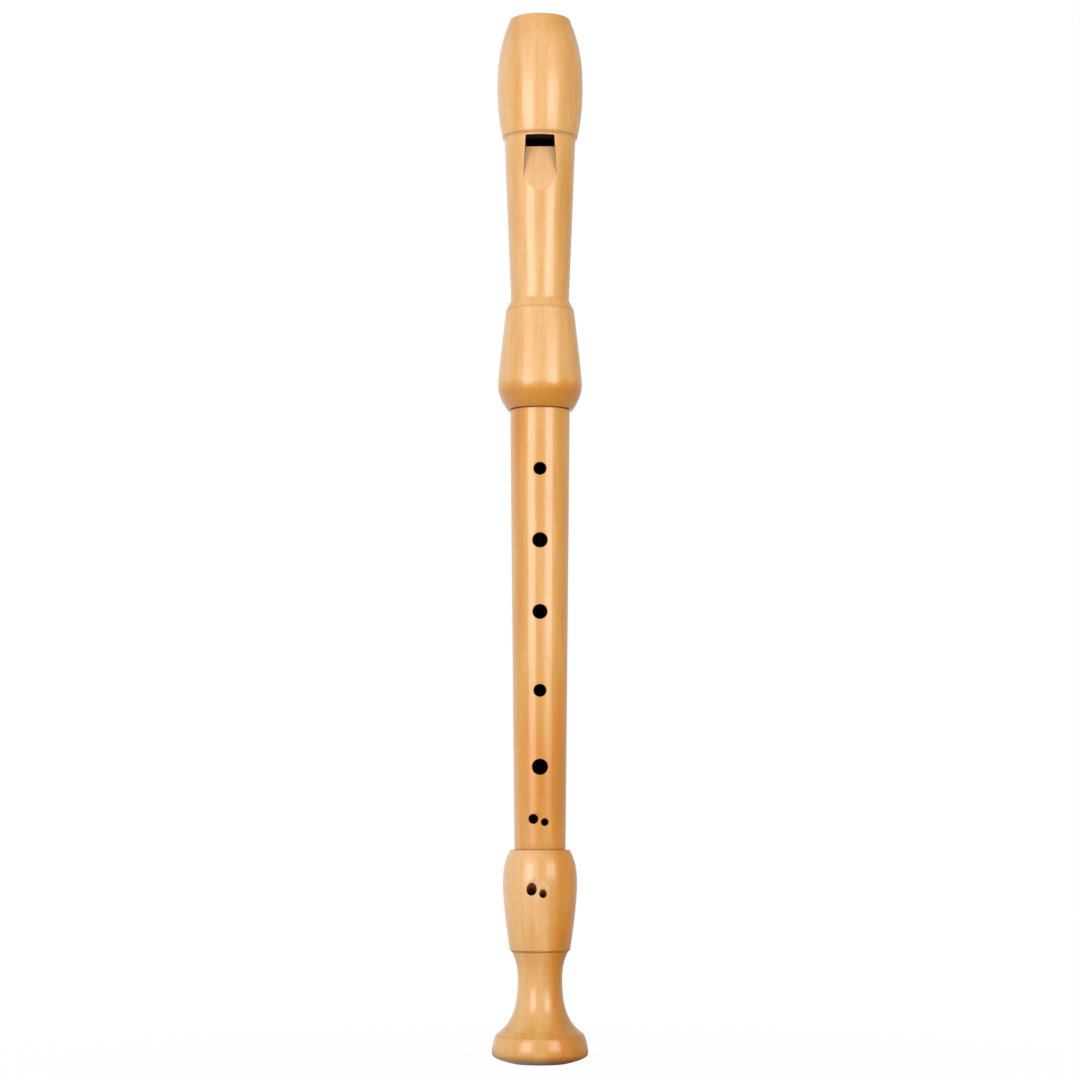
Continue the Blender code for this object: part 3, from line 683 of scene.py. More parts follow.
def voicing_cutters(sizes, voice, materials):
    """Cutters for the windway, for the window with the labium's slope, and under its edge."""
    top = HEAD_TOP + CUT_MARGIN
    window = window_top(sizes, voice)
    edge = window - voice.window_height
    half_window = 0.5 * voice.window_height
    inside = sizes.bore_radius - CUT_MARGIN
    outside = sizes.crown_radius + CUT_MARGIN
    floor = sizes.bore_radius - voice.floor_drop
    exit_roof = floor + voice.exit_height
    entry_roof = floor + voice.entry_height
    half_width = 0.5 * voice.windway_width
    slot = [
        (-inside, window - half_window),
        (-exit_roof - voice.chamfer, window - half_window),
        (-exit_roof - voice.chamfer, window),
        (-exit_roof, window + voice.chamfer),
        (-entry_roof, top),
        (-inside, top),
    ]
    windway = prism("windway_cutter", slot, half_width, [BORE] * (len(slot) + 2), materials)

    blade = sizes.bore_radius + voice.labium_rise
    tube_top = sizes.crown_length + sizes.step_height
    tube_height = HEAD_TOP - HEAD_LOW - tube_top - sizes.shoulder_height - sizes.shoulder_rise
    taper = (sizes.tube_top_radius - sizes.tube_low_radius) / tube_height
    drop = HEAD_TOP - tube_top - (edge - voice.labium_length)
    surface = sizes.tube_top_radius - taper * drop
    fall = (surface - blade) / voice.labium_length
    slope = np.array([
        (-inside, window),
        (-outside, window),
        (-outside, edge - (outside - blade) / fall),
        (-blade, edge),
        (-inside, edge),
    ])
    cheeks = half_width + voice.cheek_slope * (-slope[:, 0] - blade)
    cheeks += voice.cheek_splay * (window - slope[:, 1])
    # The window's top face, its cheeks and the faces inside the labium take the bore's finish,
    # painted near black as shade
    finishes = [BORE, LACQUERED, BARE, BORE, BORE, BORE, BORE]
    window_cutter = prism("window_cutter", slope, cheeks, finishes, materials)

    underside = blade - voice.labium_thickness
    fade = edge - voice.undercut_length
    hollow = [
        (-inside, window - half_window),
        (-underside, window - half_window),
        (-underside, fade),
        (-inside, fade - voice.undercut_fade),
    ]
    under = prism("undercut_cutter", hollow, half_width, [BORE] * (len(hollow) + 2), materials)
    return [windway, window_cutter, under]


def tenon(sizes, socket_radius, socket_depth):
    """Side of a tenon as (radius, distance from its shoulder) points, out to its end face."""
    radius = socket_radius - sizes.tenon_gap
    groove = socket_radius - 2.0 * sizes.cork_gap - sizes.cork_thickness
    far = socket_depth + SEAM - sizes.floor_gap
    groove_far = far - sizes.cork_far_margin
    return [
        (radius, 0.0),
        (radius, sizes.cork_near_margin),
        (groove, sizes.cork_near_margin),
        (groove, groove_far),
        (radius, groove_far),
        (radius, far),
    ]


def middle_outline(sizes, head, foot):
    """Closed outline of the middle joint, down its outer side and up its bore."""
    upper = tenon(sizes, head.socket_radius, head.socket_depth)
    lower = tenon(sizes, foot.socket_radius, foot.socket_depth)
    top = MIDDLE_TOP - MIDDLE_LOW
    upper_side = np.array([(radius, top + distance) for radius, distance in upper[::-1]])
    lower_side = np.array([(radius, -distance) for radius, distance in lower])
    holes = np.array([*FRONT_HOLES, THUMB_HOLE])
    fine = np.arange(0.0, top, CARVED_ROW)
    near = (np.abs(fine[:, None] - holes[:, 0]) < holes[:, 2] + ROW_MARGIN).any(axis=1)
    coarse = np.arange(fine.size) % round(TAPER_ROW / CARVED_ROW) == 0
    heights = np.concatenate([fine[near | coarse], [top]])[::-1]
    radii = np.interp(heights, [0.0, top], [sizes.low_radius, sizes.top_radius])
    bore = straight((sizes.bore_low_radius, lower_side[-1][1]),
                    (sizes.bore_top_radius, upper_side[0][1]))
    points, finishes = joined(
        (upper_side, BARE),
        (np.stack([radii, heights], axis=1), LACQUERED),
        (lower_side, BARE),
        (bore, BORE),
    )
    points, finishes = eased(points, finishes, JOINT_EASE)
    return points + np.array([0.0, MIDDLE_LOW]), finishes


def middle_cutters(sizes, materials):
    """Cutters for the scoop, the seven front holes and the thumb hole of the middle joint."""
    plain = side_surface(np.array([(sizes.low_radius, MIDDLE_LOW),
                                   (sizes.top_radius, MIDDLE_TOP)]))
    above, offset, _ = np.mean(DOUBLE_HOLES, axis=0)
    height = FOOT_TOP + above
    hollow = (offset, height, float(plain(0.0, height)), sizes.scoop_depth, sizes.scoop_radius)
    scooped = scooped_surface(plain, *hollow)
    cutters = [drum_cutter(LACQUERED, *hollow, materials)]
    for hole in (*FRONT_HOLES, THUMB_HOLE):
        above, across, radius = hole
        place = (across, FOOT_TOP + above)
        surface = scooped if hole in DOUBLE_HOLES else plain
        side = 1.0 if hole is THUMB_HOLE else -1.0
        reach = float(plain(*place)) - 0.5 * sizes.bore_low_radius
        size = (radius, sizes.hole_rim, sizes.hole_undercut)
        cutters.append(hole_cutter(place, side, 0.0, surface, size, reach, materials))
    return cutters


def foot_side(sizes):
    """Outer side of the foot joint as (radius, height) points, from its top to its end face."""
    wide = (sizes.barrel_radius, FOOT_TOP - sizes.barrel_widest_drop)
    barrel_top = (sizes.barrel_top_radius, FOOT_TOP)
    barrel_end = (sizes.barrel_end_radius, sizes.barrel_end_height)
    neck_top = (sizes.neck_top_radius, sizes.barrel_end_height - sizes.step_height)
    neck_top_handle = (neck_top[0] - sizes.neck_in, neck_top[1] - sizes.neck_down)
    neck = (sizes.neck_radius, sizes.neck_height)
    neck_above = (sizes.neck_radius, sizes.neck_height + sizes.neck_up)
    neck_below = (sizes.neck_radius, sizes.neck_height - sizes.flare_down)
    rim = (sizes.rim_radius, sizes.rim_height)
    flare = (sizes.rim_radius - sizes.bevel_width, sizes.rim_height + sizes.bevel_rise)
    flare_handle = (flare[0] - sizes.flare_in, flare[1] + sizes.flare_up)
    bell = (sizes.bell_radius, sizes.bell_widest_height)
    return np.concatenate([
        swelling(wide, barrel_top, FULL_FULLNESS, 0.5 * CURVE_ROW)[::-1],
        swelling(wide, barrel_end, SLACK_FULLNESS),
        bezier(neck_top, neck_top_handle, neck_above, neck),
        bezier(neck, neck_below, flare_handle, flare),
        swelling(bell, rim, ROUND_FULLNESS)[::-1],
        swelling(bell, (sizes.rest_radius, 0.0), PLUMP_FULLNESS, 0.5 * CURVE_ROW),
    ])


def foot_outline(sizes):
    """Closed outline of the foot joint, down its outer side and up its bore."""
    floor = FOOT_TOP - sizes.socket_depth
    radius = sizes.socket_radius
    waist = (sizes.bore_waist_radius, sizes.bore_waist_height)
    outline = joined(
        (straight((radius + SOCKET_MOUTH, FOOT_TOP), (sizes.barrel_top_radius, FOOT_TOP)),
         LACQUERED),
        (foot_side(sizes), LACQUERED),
        (straight((sizes.bore_end_radius, 0.0), waist), BORE),
        (straight(waist, (sizes.bore_top_radius, floor)), BORE),
        (straight((radius, floor), (radius, FOOT_TOP - SOCKET_MOUTH)), BARE),
    )
    return eased(*outline, JOINT_EASE)


def foot_cutters(sizes, materials):
    """Cutters for the scoop and the slanting double hole of the foot joint."""
    socket_floor = FOOT_TOP - sizes.socket_depth
    plain = side_surface(foot_side(sizes))
    drop, offset, _ = np.mean(FOOT_HOLES, axis=0)
    hollow = (offset, socket_floor - drop, sizes.barrel_radius, sizes.scoop_depth,
              sizes.scoop_radius)
    scooped = scooped_surface(plain, *hollow)
    cutters = [drum_cutter(BARE, *hollow, materials)]
    for drop, across, radius in FOOT_HOLES:
        place = (across, socket_floor - drop)
        reach = FOOT_REACH * float(scooped(*place)) / math.cos(sizes.hole_slant)
        size = (radius, sizes.hole_rim, 0.0)
        cutters.append(hole_cutter(place, -1.0, sizes.hole_slant, scooped, size, reach,
                                   materials))
    return cutters


def block_rings(sizes, voice):
    """Rings of the block: the bore's circle, cut off at the front at the windway's floor.

    The distance from the axis in each direction is the lesser of the circle's radius and the
    distance to the floor's straight line, which has its own half width.
    """
    radius = sizes.bore_radius - BLOCK_GAP
    half_width = 0.5 * voice.windway_width - BLOCK_GAP
    floor = sizes.bore_radius - voice.floor_drop
    bottom = window_top(sizes, voice)
    half_angle = math.asin(half_width / radius)
    around = np.linspace(half_angle, 2.0 * math.pi - half_angle, BORE_COLUMNS)
    heights = np.array([[bottom], [bottom + voice.chamfer], [HEAD_TOP + CUT_MARGIN]])
    levels = np.array([[floor - voice.chamfer], [floor], [floor]])
    x = np.concatenate([[half_width], radius * np.sin(around), [-half_width]])
    arcs = np.tile(-radius * np.cos(around), (len(levels), 1))
    y = np.concatenate([-levels, arcs, -levels], axis=1)
    return np.stack(np.broadcast_arrays(x, y, heights), axis=-1)


def cork_rings(sizes, shoulder, direction, socket_radius, socket_depth):
    """Rings of a strip of sheet cork glued round a tenon.

    The outline is the strip's section with rounded edges. On the outside a shallow groove follows
    the slanting seam where the strip's ends overlap, and is as deep as a bell curve of the
    distance to the seam.
    """
    outside = socket_radius - sizes.cork_gap
    inside = outside - sizes.cork_thickness
    near = sizes.cork_near_margin + sizes.cork_gap
    far = socket_depth + SEAM - sizes.floor_gap - sizes.cork_far_margin - sizes.cork_gap
    points, finishes = joined(
        (straight((inside, near), (inside, far), CURVE_ROW), 0),
        (straight((outside, far), (outside, near), CURVE_ROW), 0),
    )
    points, finishes = eased(points, finishes, CORK_EASE)
    rings = turned_rings(points, TURNED_COLUMNS)
    turn = np.arctan2(rings[..., 1], rings[..., 0])
    along = rings[..., 2]
    slanted = CORK_SEAM_SLANT * (along - 0.5 * (near + far))
    seam = outside * (turn - CORK_SEAM_ANGLE) - slanted
    groove = CORK_SEAM_DEPTH * np.exp(-(seam / CORK_SEAM_WIDTH) ** 2)
    outer = np.hypot(rings[..., 0], rings[..., 1]) > inside + 0.5 * sizes.cork_thickness
    shrink = 1.0 - outer * groove / outside
    rings[..., 0] *= shrink
    rings[..., 1] *= shrink
    rings[..., 2] = shoulder + direction * along
    return rings, finishes


def fill(tree, node, inputs):
    """Fill a node's inputs by name or number, each with a value or another node's output."""
    for key, value in inputs.items():
        socket = node.inputs[key]
        if isinstance(value, bpy.types.NodeSocket):
            tree.links.new(value, socket)
        else:
            socket.default_value = (*value, 1.0) if socket.type == "RGBA" else value


def add(tree, kind, inputs, output=0, **settings):
    """Add a node with its settings, fill its inputs and give back one of its outputs.

    The inputs are a list in the node's own order, or a dictionary by name or number. Each of them
    is a number, a vector, a colour or the output of another node.
    """
    made = tree.nodes.new(f"ShaderNode{kind}")
    for name, value in settings.items():
        setattr(made, name, value)
    fill(tree, made, inputs if isinstance(inputs, dict) else dict(enumerate(inputs)))
    return made.outputs[output]


def new_material(name):
    """Empty material with its node tree, its shader and the output of the place on the piece."""
    material = bpy.data.materials.new(name)
    material.use_nodes = True
    tree = material.node_tree
    return material, tree, tree.nodes["Principled BSDF"], add(tree, "TexCoord", {}, "Object")


def grain(tree, place, size_mm, detail, roughness):
    """Noise whose features have the given sizes in millimetres along each axis."""
    scaled = add(tree, "Mapping", {"Vector": place, "Scale": [1000.0 / size for size in size_mm]})
    return add(tree, "TexNoise", {"Vector": scaled, "Scale": 1.0, "Detail": detail,
                                  "Roughness": roughness})


def set_stops(ramp, stops):
    """Give a colour ramp its (position, colour) stops."""
    ramp.elements.remove(ramp.elements[-1])
    for number, (position, values) in enumerate(stops):
        stop = ramp.elements.new(position) if number else ramp.elements[0]
        stop.position = position
        stop.color = (*values, 1.0)


def overlaid(tree, base, top, pattern, low, high, least, most):
    """Colour with another laid over it, by a share from least to most as a pattern rises."""
    share = add(tree, "MapRange", [pattern, low, high, least, most])
    return add(tree, "Mix", {0: share, 6: base, 7: top}, 2, data_type="RGBA")


def band(tree, value, middle, half_width, strength):
    """Strength that is full at a middle value and fades to nothing at a half width from it."""
    away = add(tree, "Math", [value, middle], operation="SUBTRACT")
    away = add(tree, "Math", [away], operation="ABSOLUTE")
    return add(tree, "MapRange", [away, 0.0, half_width, strength, 0.0])


def from_axis(tree, place):
    """Distance from the bore's axis."""
    level = add(tree, "VectorMath", [place, (1.0, 1.0, 0.0)], operation="MULTIPLY")
    return add(tree, "VectorMath", [level], "Value", operation="LENGTH")


def wood_tone(tree, position, place, wood):
    """How deep the wood's tone is, from 0 for pale to 1 for the deepest.

    It drifts along the joint as read off the height stops, which on the head also paint the shade
    under the socket's bulge, is painted darker towards the joint's right side as shade, changes in
    streaks that run up the board, one of which paints the shadow of the head's socket on the middle
    joint, and wanders in broad upright patches.
    """
    across, height = [add(tree, "SeparateXYZ", [position], axis) for axis in "XZ"]
    level = add(tree, "Math", [height, HEAD_TOP], operation="DIVIDE")
    tone = add(tree, "ValToRGB", [level])
    set_stops(tone.node.color_ramp, [(stop / HEAD_TOP, [depth] * 3)
                                     for stop, depth in wood["tones"]])
    wander = grain(tree, place, (30.0, 30.0, 60.0), 2.0, 0.5)
    bent = add(tree, "Math", [wander, STREAK_WANDER, across], operation="MULTIPLY_ADD")
    for offset, half_width, heights, strengths in wood["streaks"]:
        share = band(tree, bent, offset + 0.5 * STREAK_WANDER, half_width, 1.0)
        strength = add(tree, "MapRange", [height, *heights, *strengths])
        tone = add(tree, "Math", [share, strength, tone], operation="MULTIPLY_ADD")
    # Painted shade: the right side of each joint is darker
    turned_share = add(tree, "Math", [across, from_axis(tree, position)], operation="DIVIDE")
    near, far, shade_strength = wood["side"]
    side = add(tree, "MapRange", [turned_share, near, far, 0.0, shade_strength])
    patches = grain(tree, place, (8.0, 8.0, 50.0), 3.0, 0.55)
    patched = add(tree, "MapRange", [patches, 0.3, 0.7, -0.16, 0.16])
    side_shade_and_patches = add(tree, "Math", [side, patched], operation="ADD")
    return add(tree, "Math", [tone, side_shade_and_patches], operation="ADD")


def painted_edge_shade(tree, position, lines):
    """Share of painted shade at turned steps and seams, from lines of (height, half width, share).
    """
    height = add(tree, "SeparateXYZ", [position], "Z")
    total = 0.0
    for level, half_width, share in lines:
        line = band(tree, height, level, half_width, share)
        total = add(tree, "Math", [line, total], operation="MAXIMUM")
    return total


def make_pearwood(name, wood, tones, lacquered):
    """Steamed pearwood, turned and sanded fine, under clear lacquer or bare.

    Its growth rings hardly show. What the eye gets is a warm tone that drifts from straw to
    orange in broad upright patches, with faint fibres and pores as fine as hairs. Lacquered wood
    has a soft sheen under a clear skin, and is painted darker at its turned steps and seams as
    shade.
    """
    pale, gold, orange, deep, late = tones
    material, tree, shader, position = new_material(name)
    board = Vector(wood["board_mm"]) / 1000.0
    place = add(tree, "Mapping", {"Vector": position, "Location": board, "Rotation": wood["tilt"]})
    tone = wood_tone(tree, position, place, wood)
    toned = add(tree, "ValToRGB", [tone])
    set_stops(toned.node.color_ramp, ((0.0, pale), (0.4, gold), (0.75, orange), (1.0, deep)))
    fibres = grain(tree, place, (1.0, 1.0, 30.0), 4.0, 0.6)
    fibred = overlaid(tree, toned, late, fibres, 0.44, 0.72, 0.0, 0.14)
    pores = grain(tree, place, (0.28, 0.28, 2.6), 2.0, 0.5)
    pored = overlaid(tree, fibred, late, pores, 0.62, 0.74, 0.0, 0.12)
    rings = add(tree, "TexWave", {"Vector": place, "Scale": WAVE_SCALE, "Distortion": 3.0,
                                  "Detail": 2.0, "Detail Scale": 0.6},
                "Fac", wave_type="RINGS", rings_direction="Z")
    surface = overlaid(tree, pored, late, rings, 0.6, 1.0, 0.0, 0.07)
    roughness = (0.58, 0.70)
    if lacquered:
        # Painted shade: darker lines at the turned steps and seams
        edge_shade = painted_edge_shade(tree, position, wood["lines"])
        surface = add(tree, "Mix", {0: edge_shade, 6: surface, 7: late}, 2, data_type="RGBA")
        roughness = (0.32, 0.40)
        fill(tree, shader, {"Coat Weight": 1.0, "Coat Roughness": 0.18})
    bump = add(tree, "Bump", {"Strength": 0.1, "Distance": 0.00003, "Height": fibres})
    fill(tree, shader, {"Base Color": surface, "Normal": bump,
                        "Roughness": add(tree, "MapRange", [fibres, 0.3, 0.7, *roughness])})
    return material


def make_bore_wood(name, inner_radius, outer_radius, oil_and_shade_power, mouth, depth):
    """Pearwood soaked with bore oil: brown at a hole's mouth, and painted nearly black further in
    as shade.

    The oil darkens the end grain somewhat, and painted shade darkens it to nearly black the deeper
    it lies, so the colour follows the distance from the axis.
    """
    material, tree, shader, place = new_material(name)
    # Painted shade: darker the nearer the axis
    share = add(tree, "MapRange", [from_axis(tree, place), inner_radius, outer_radius, 0.0, 1.0])
    lit = add(tree, "Math", [share, oil_and_shade_power], operation="POWER")
    toned = add(tree, "Mix", {0: lit, 6: depth, 7: mouth}, 2, data_type="RGBA")
    fibres = grain(tree, place, (0.5, 0.5, 9.0), 3.0, 0.6)
    streaked = overlaid(tree, toned, depth, fibres, 0.35, 0.75, 0.0, 0.4)
    fill(tree, shader, {"Base Color": streaked, "Roughness": 0.62})
    return material


def make_cedar(name, light, dark, shade_colour, end):
    """Bare red cedar, planed and not varnished: dull, reddish, with fine straight rings.

    Its rings show as narrow dark lines. Its lower end, at the given height, is painted near black
    as the shade inside the window, so that the window looks black.
    """
    material, tree, shader, place = new_material(name)
    across, height = [add(tree, "SeparateXYZ", [place], axis) for axis in "XZ"]
    wander = grain(tree, place, (6.0, 6.0, 60.0), 2.0, 0.5)
    bent = add(tree, "Math", [wander, CEDAR_WANDER, across], operation="MULTIPLY_ADD")
    counted = add(tree, "Math", [bent, CEDAR_RING], operation="DIVIDE")
    ring = add(tree, "Math", [counted], operation="FRACT")
    ringed = overlaid(tree, light, dark, ring, 0.55, 0.95, 0.05, 0.75)
    fibres = grain(tree, place, (0.3, 0.3, 7.0), 4.0, 0.65)
    streaked = overlaid(tree, ringed, dark, fibres, 0.4, 0.75, 0.0, 0.5)
    # Painted shade: the block's lower end fades to near black, for the shade inside the window
    shade_full, shade_gone = [end + reach for reach in SHADE_FADE]
    end_shaded = overlaid(tree, streaked, shade_colour, height, shade_full, shade_gone, 1.0, 0.0)
    bump = add(tree, "Bump", {"Strength": 0.4, "Distance": 0.00005, "Height": fibres})
    fill(tree, shader, {"Base Color": end_shaded, "Normal": bump, "Roughness": 0.78})
    return material


def make_cork(name, light, dark):
    """Sheet cork, sanded to fit: dull and warm, with cells of about 1 mm and dark pits."""
    material, tree, shader, place = new_material(name)
    cells = add(tree, "TexVoronoi", {"Vector": place, "Scale": 1.0 / CORK_CELL}, "Color")
    tone = add(tree, "SeparateColor", [cells], "Red")
    celled = overlaid(tree, light, dark, tone, 0.0, 1.0, 0.0, 0.35)
    pits = grain(tree, place, (0.9, 0.9, 0.7), 4.0, 0.7)
    pitted = overlaid(tree, celled, dark, pits, 0.58, 0.70, 0.0, 0.85)
    bump = add(tree, "Bump", {"Strength": 0.6, "Distance": 0.00015, "Height": pits}, invert=True)
    fill(tree, shader, {"Base Color": pitted, "Normal": bump, "Roughness": 0.88})
    return material


# Each joint's place in the board, the lie of its grain, its tone along the height, its streaks as
# (offset, half width, heights, strengths at them), the right side painted darker as shade, as
# (from, to, strength) in shares of the half width, its lines of painted shade at turned steps and
# seams, and the power by which its bore darkens inwards, from oil and painted shade together
HEAD_WOOD = {
    "board_mm": (92.0, 31.0, 4.0),
    "tilt": (0.012, -0.016, 0.0),
    # The first two stops paint the shade under the socket's bulge
    "tones": ((0.309, 1.00), (0.3165, 0.94), (0.3225, 0.04), (0.360, 0.03), (0.400, 0.10),
              (0.435, 0.04), (0.485, 0.0), (0.500, 0.24)),
    "streaks": ((-0.0118, 0.0036, (HEAD_LOW, HEAD_TOP), (0.24, 0.24)),),
    "side": (0.25, 0.80, 0.32),
    "lines": ((HEAD_LOW, 0.0008, 0.35), (HEAD_LOW + 0.0483, 0.0009, 0.30),
              (HEAD_TOP - 0.0583, 0.0009, 0.70)),
    "oil_and_shade_power": 2.0,
}
MIDDLE_WOOD = {
    "board_mm": (-71.0, 44.0, 180.0),
    "tilt": (-0.010, 0.012, 0.4),
    "tones": ((0.100, 0.48), (0.113, 0.56), (0.125, 0.69), (0.151, 0.60), (0.172, 0.44),
              (0.193, 0.28), (0.260, 0.22), (0.310, 0.28)),
    "streaks": ((-0.0100, 0.0055, (0.130, 0.215), (-0.30, 0.34)),
                # This streak paints the shadow that the head's socket casts on the left of the
                # joint just below it
                (-0.0098, 0.0042, (0.250, 0.300), (0.0, 0.40))),
    "side": (0.35, 0.80, 0.20),
    "lines": ((MIDDLE_LOW, 0.0005, 0.35), (MIDDLE_TOP, 0.0005, 0.35)),
    "oil_and_shade_power": 3.0,
}
FOOT_WOOD = {
    "board_mm": (84.0, -27.0, -60.0),
    "tilt": (0.008, 0.018, -0.3),
    "tones": ((0.0, 0.28), (0.0120, 0.28), (0.0135, 0.46), (0.0180, 0.28), (0.028, 0.12),
              (0.040, 0.17), (0.057, 0.14), (0.073, 0.0), (0.100, 0.06)),
    "streaks": ((-0.0105, 0.0080, (0.020, 0.030), (0.0, -0.14)),),
    "side": (0.10, 0.66, 0.76),
    "lines": ((FOOT_TOP, 0.0009, 0.45), (0.0524, 0.0008, 0.90), (0.0129, 0.0005, 0.30)),
    "oil_and_shade_power": 1.6,
}


def finishes_for(joint, wood, inner_radius, outer_radius):
    """Lacquered, bore and bare finishes of one joint, cut from its own place of the board."""
    tones = bpy.context.scene.recorder_finish
    warm = (tones.pearwood_pale, tones.pearwood_gold, tones.pearwood_orange, tones.pearwood_deep,
            tones.pearwood_late)
    bare = (tones.bare_tone, tones.bare_tone, tones.pearwood_gold, tones.pearwood_gold,
            tones.pearwood_late)
    return [
        make_pearwood(f"lacquered_pearwood_{joint}", wood, warm, True),
        make_bore_wood(f"oiled_and_shaded_bore_{joint}", inner_radius, outer_radius, wood["oil_and_shade_power"],
                       tones.bore_mouth, tones.bore_oil_and_shade),
        make_pearwood(f"bare_pearwood_{joint}", wood, bare, False),
    ]


class RECORDER_OT_head(bpy.types.Operator):
    """Turn the head joint and cut its bore, windway, window and labium."""

    bl_idname = "recorder.make_head"
    bl_label = "Head joint"

    def execute(self, context):
        sizes = context.scene.recorder_head
        voice = context.scene.recorder_voice
        materials = finishes_for("head", HEAD_WOOD, sizes.bore_radius, 2.0 * sizes.crown_radius)
        piece = head_blank("turned_head", sizes, voice, materials)
        carve(piece, [head_bore(sizes, materials), *voicing_cutters(sizes, voice, materials)])
        finish_piece(piece, "head", "body_wood", "head_joint")
        return {"FINISHED"}


class RECORDER_OT_block(bpy.types.Operator):
    """Make the cedar block that fills the head's bore and carries the windway's floor."""

    bl_idname = "recorder.make_block"
    bl_label = "Block"

    def execute(self, context):
        sizes = context.scene.recorder_head
        voice = context.scene.recorder_voice
        tones = context.scene.recorder_finish
        materials = [make_cedar("bare_red_cedar", tones.cedar_light, tones.cedar_dark,
                                tones.cedar_painted_shade, window_top(sizes, voice))]
        rings = block_rings(sizes, voice)
        piece = skinned("cedar_block", rings, np.zeros(len(rings), dtype=int), materials, False)
        blank = head_blank("blank_cutter", sizes, voice, materials, BORE_COLUMNS)
        carve(piece, [blank], "INTERSECT")
        finish_piece(piece, "block", "block_cedar", "block")
        return {"FINISHED"}


class RECORDER_OT_middle(bpy.types.Operator):
    """Turn the middle joint with its tenons and drill its eight holes."""

    bl_idname = "recorder.make_middle"
    bl_label = "Middle joint"

    def execute(self, context):
        sizes = context.scene.recorder_middle
        head = context.scene.recorder_head
        foot = context.scene.recorder_foot
        materials = finishes_for("middle", MIDDLE_WOOD, sizes.bore_low_radius, sizes.top_radius)
        piece = turned("turned_middle", *middle_outline(sizes, head, foot), materials)
        carve(piece, middle_cutters(sizes, materials))
        finish_piece(piece, "middle", "body_wood", "middle_joint")
        return {"FINISHED"}


class RECORDER_OT_corks(bpy.types.Operator):
    """Wrap both tenons of the middle joint in sheet cork."""

    bl_idname = "recorder.make_corks"
    bl_label = "Tenon corks"

    def execute(self, context):
        sizes = context.scene.recorder_middle
        head = context.scene.recorder_head
        foot = context.scene.recorder_foot
        tones = context.scene.recorder_finish
        materials = [make_cork("sanded_sheet_cork", tones.cork_light, tones.cork_dark)]
        for place, shoulder, direction, joint in (("upper", MIDDLE_TOP, 1.0, head),
                                                  ("lower", MIDDLE_LOW, -1.0, foot)):
            rings, finishes = cork_rings(sizes, shoulder, direction, joint.socket_radius,
                                         joint.socket_depth)
            piece = skinned(f"{place}_cork_strip", rings, finishes, materials, True)
            finish_piece(piece, f"{place}_cork", "tenon_cork", f"{place}_tenon_cork")
        return {"FINISHED"}


class RECORDER_OT_foot(bpy.types.Operator):
    """Turn the foot joint with its barrel, neck and bell, and drill its double hole."""

    bl_idname = "recorder.make_foot"
    bl_label = "Foot joint"

    def execute(self, context):
        sizes = context.scene.recorder_foot
        materials = finishes_for("foot", FOOT_WOOD, sizes.bore_waist_radius, sizes.barrel_radius)
        piece = turned("turned_foot", *foot_outline(sizes), materials)
        carve(piece, foot_cutters(sizes, materials))
        finish_piece(piece, "foot", "body_wood", "foot_joint")
        return {"FINISHED"}


class RECORDER_OT_stage(bpy.types.Operator):
    """Make the floor, the softboxes, the white surroundings and the camera."""

    bl_idname = "recorder.make_stage"
    bl_label = "Studio"

    def execute(self, context):
        make_floor(context)
        make_lights(context)
        make_world(context)
        make_camera(context)
        context.scene.view_settings.view_transform = "Standard"
        return {"FINISHED"}


# The floor's width, and near the recorder its share of plain white and its shine, with the
# distances over which both rise to their full strength
FLOOR_SIZE = 8.0
NEAR_WHITE = 0.96
NEAR_SHINE = 0.30
WHITE_REACH = (0.05, 0.40)
SHINE_REACH = (0.03, 0.50)

# Light of the white room, how its dim and bright sides reflect, and where the bright side lies
WORLD_LEVEL = 0.59
DIM_LEVEL = 0.25
BRIGHT_LEVEL = 0.90
BRIGHT_SIDE = (-0.94, 0.34, 0.0)

# Softboxes, the fading part above each with its share of the power, and the white cards
SOFTBOX_WIDTH = 0.78
SOFTBOX_HEIGHT = 0.70
SOFTBOX_FADE = 0.60
FADE_POWER = 0.17
SOFTBOX_DISTANCE = 1.50
CARD_WIDTH = 1.0
CARD_HEIGHT = 1.4
CARD_LEVEL = 0.5
CARD_DISTANCE = 1.2

# Camera: distances in metres, pitch in degrees, lens and sensor in millimetres
CAMERA_DISTANCE = 1.47216
CAMERA_HEIGHT = 0.10948
CAMERA_PITCH = 5.335
CAMERA_LENS = 103.33
CAMERA_SENSOR = 36.0

# Each side's softbox as (angle round the recorder, level, power), and its card's angle and power
SOFTBOXES = {"left": (-33.5, 0.47, 7.5), "right": (36.0, 0.53, 7.1)}
CARDS = {"left": (-105.0, 3.0), "right": (105.0, 1.5)}


def background_rays(tree):
    """Outputs that are 1 for the camera's rays, and for all that see the background directly."""
    camera, glossy, clear = [add(tree, "LightPath", {}, f"Is {kind} Ray")
                             for kind in ("Camera", "Glossy", "Transmission")]
    either = add(tree, "Math", [camera, glossy], operation="MAXIMUM")
    return camera, add(tree, "Math", [either, clear], operation="MAXIMUM")


def side_level(tree, heading):
    """How bright a reflection sees the room, from its dim side to its bright one."""
    sided = add(tree, "VectorMath", [heading, BRIGHT_SIDE], "Value", operation="DOT_PRODUCT")
    return add(tree, "MapRange", [sided, -1.0, 1.0, DIM_LEVEL, BRIGHT_LEVEL])


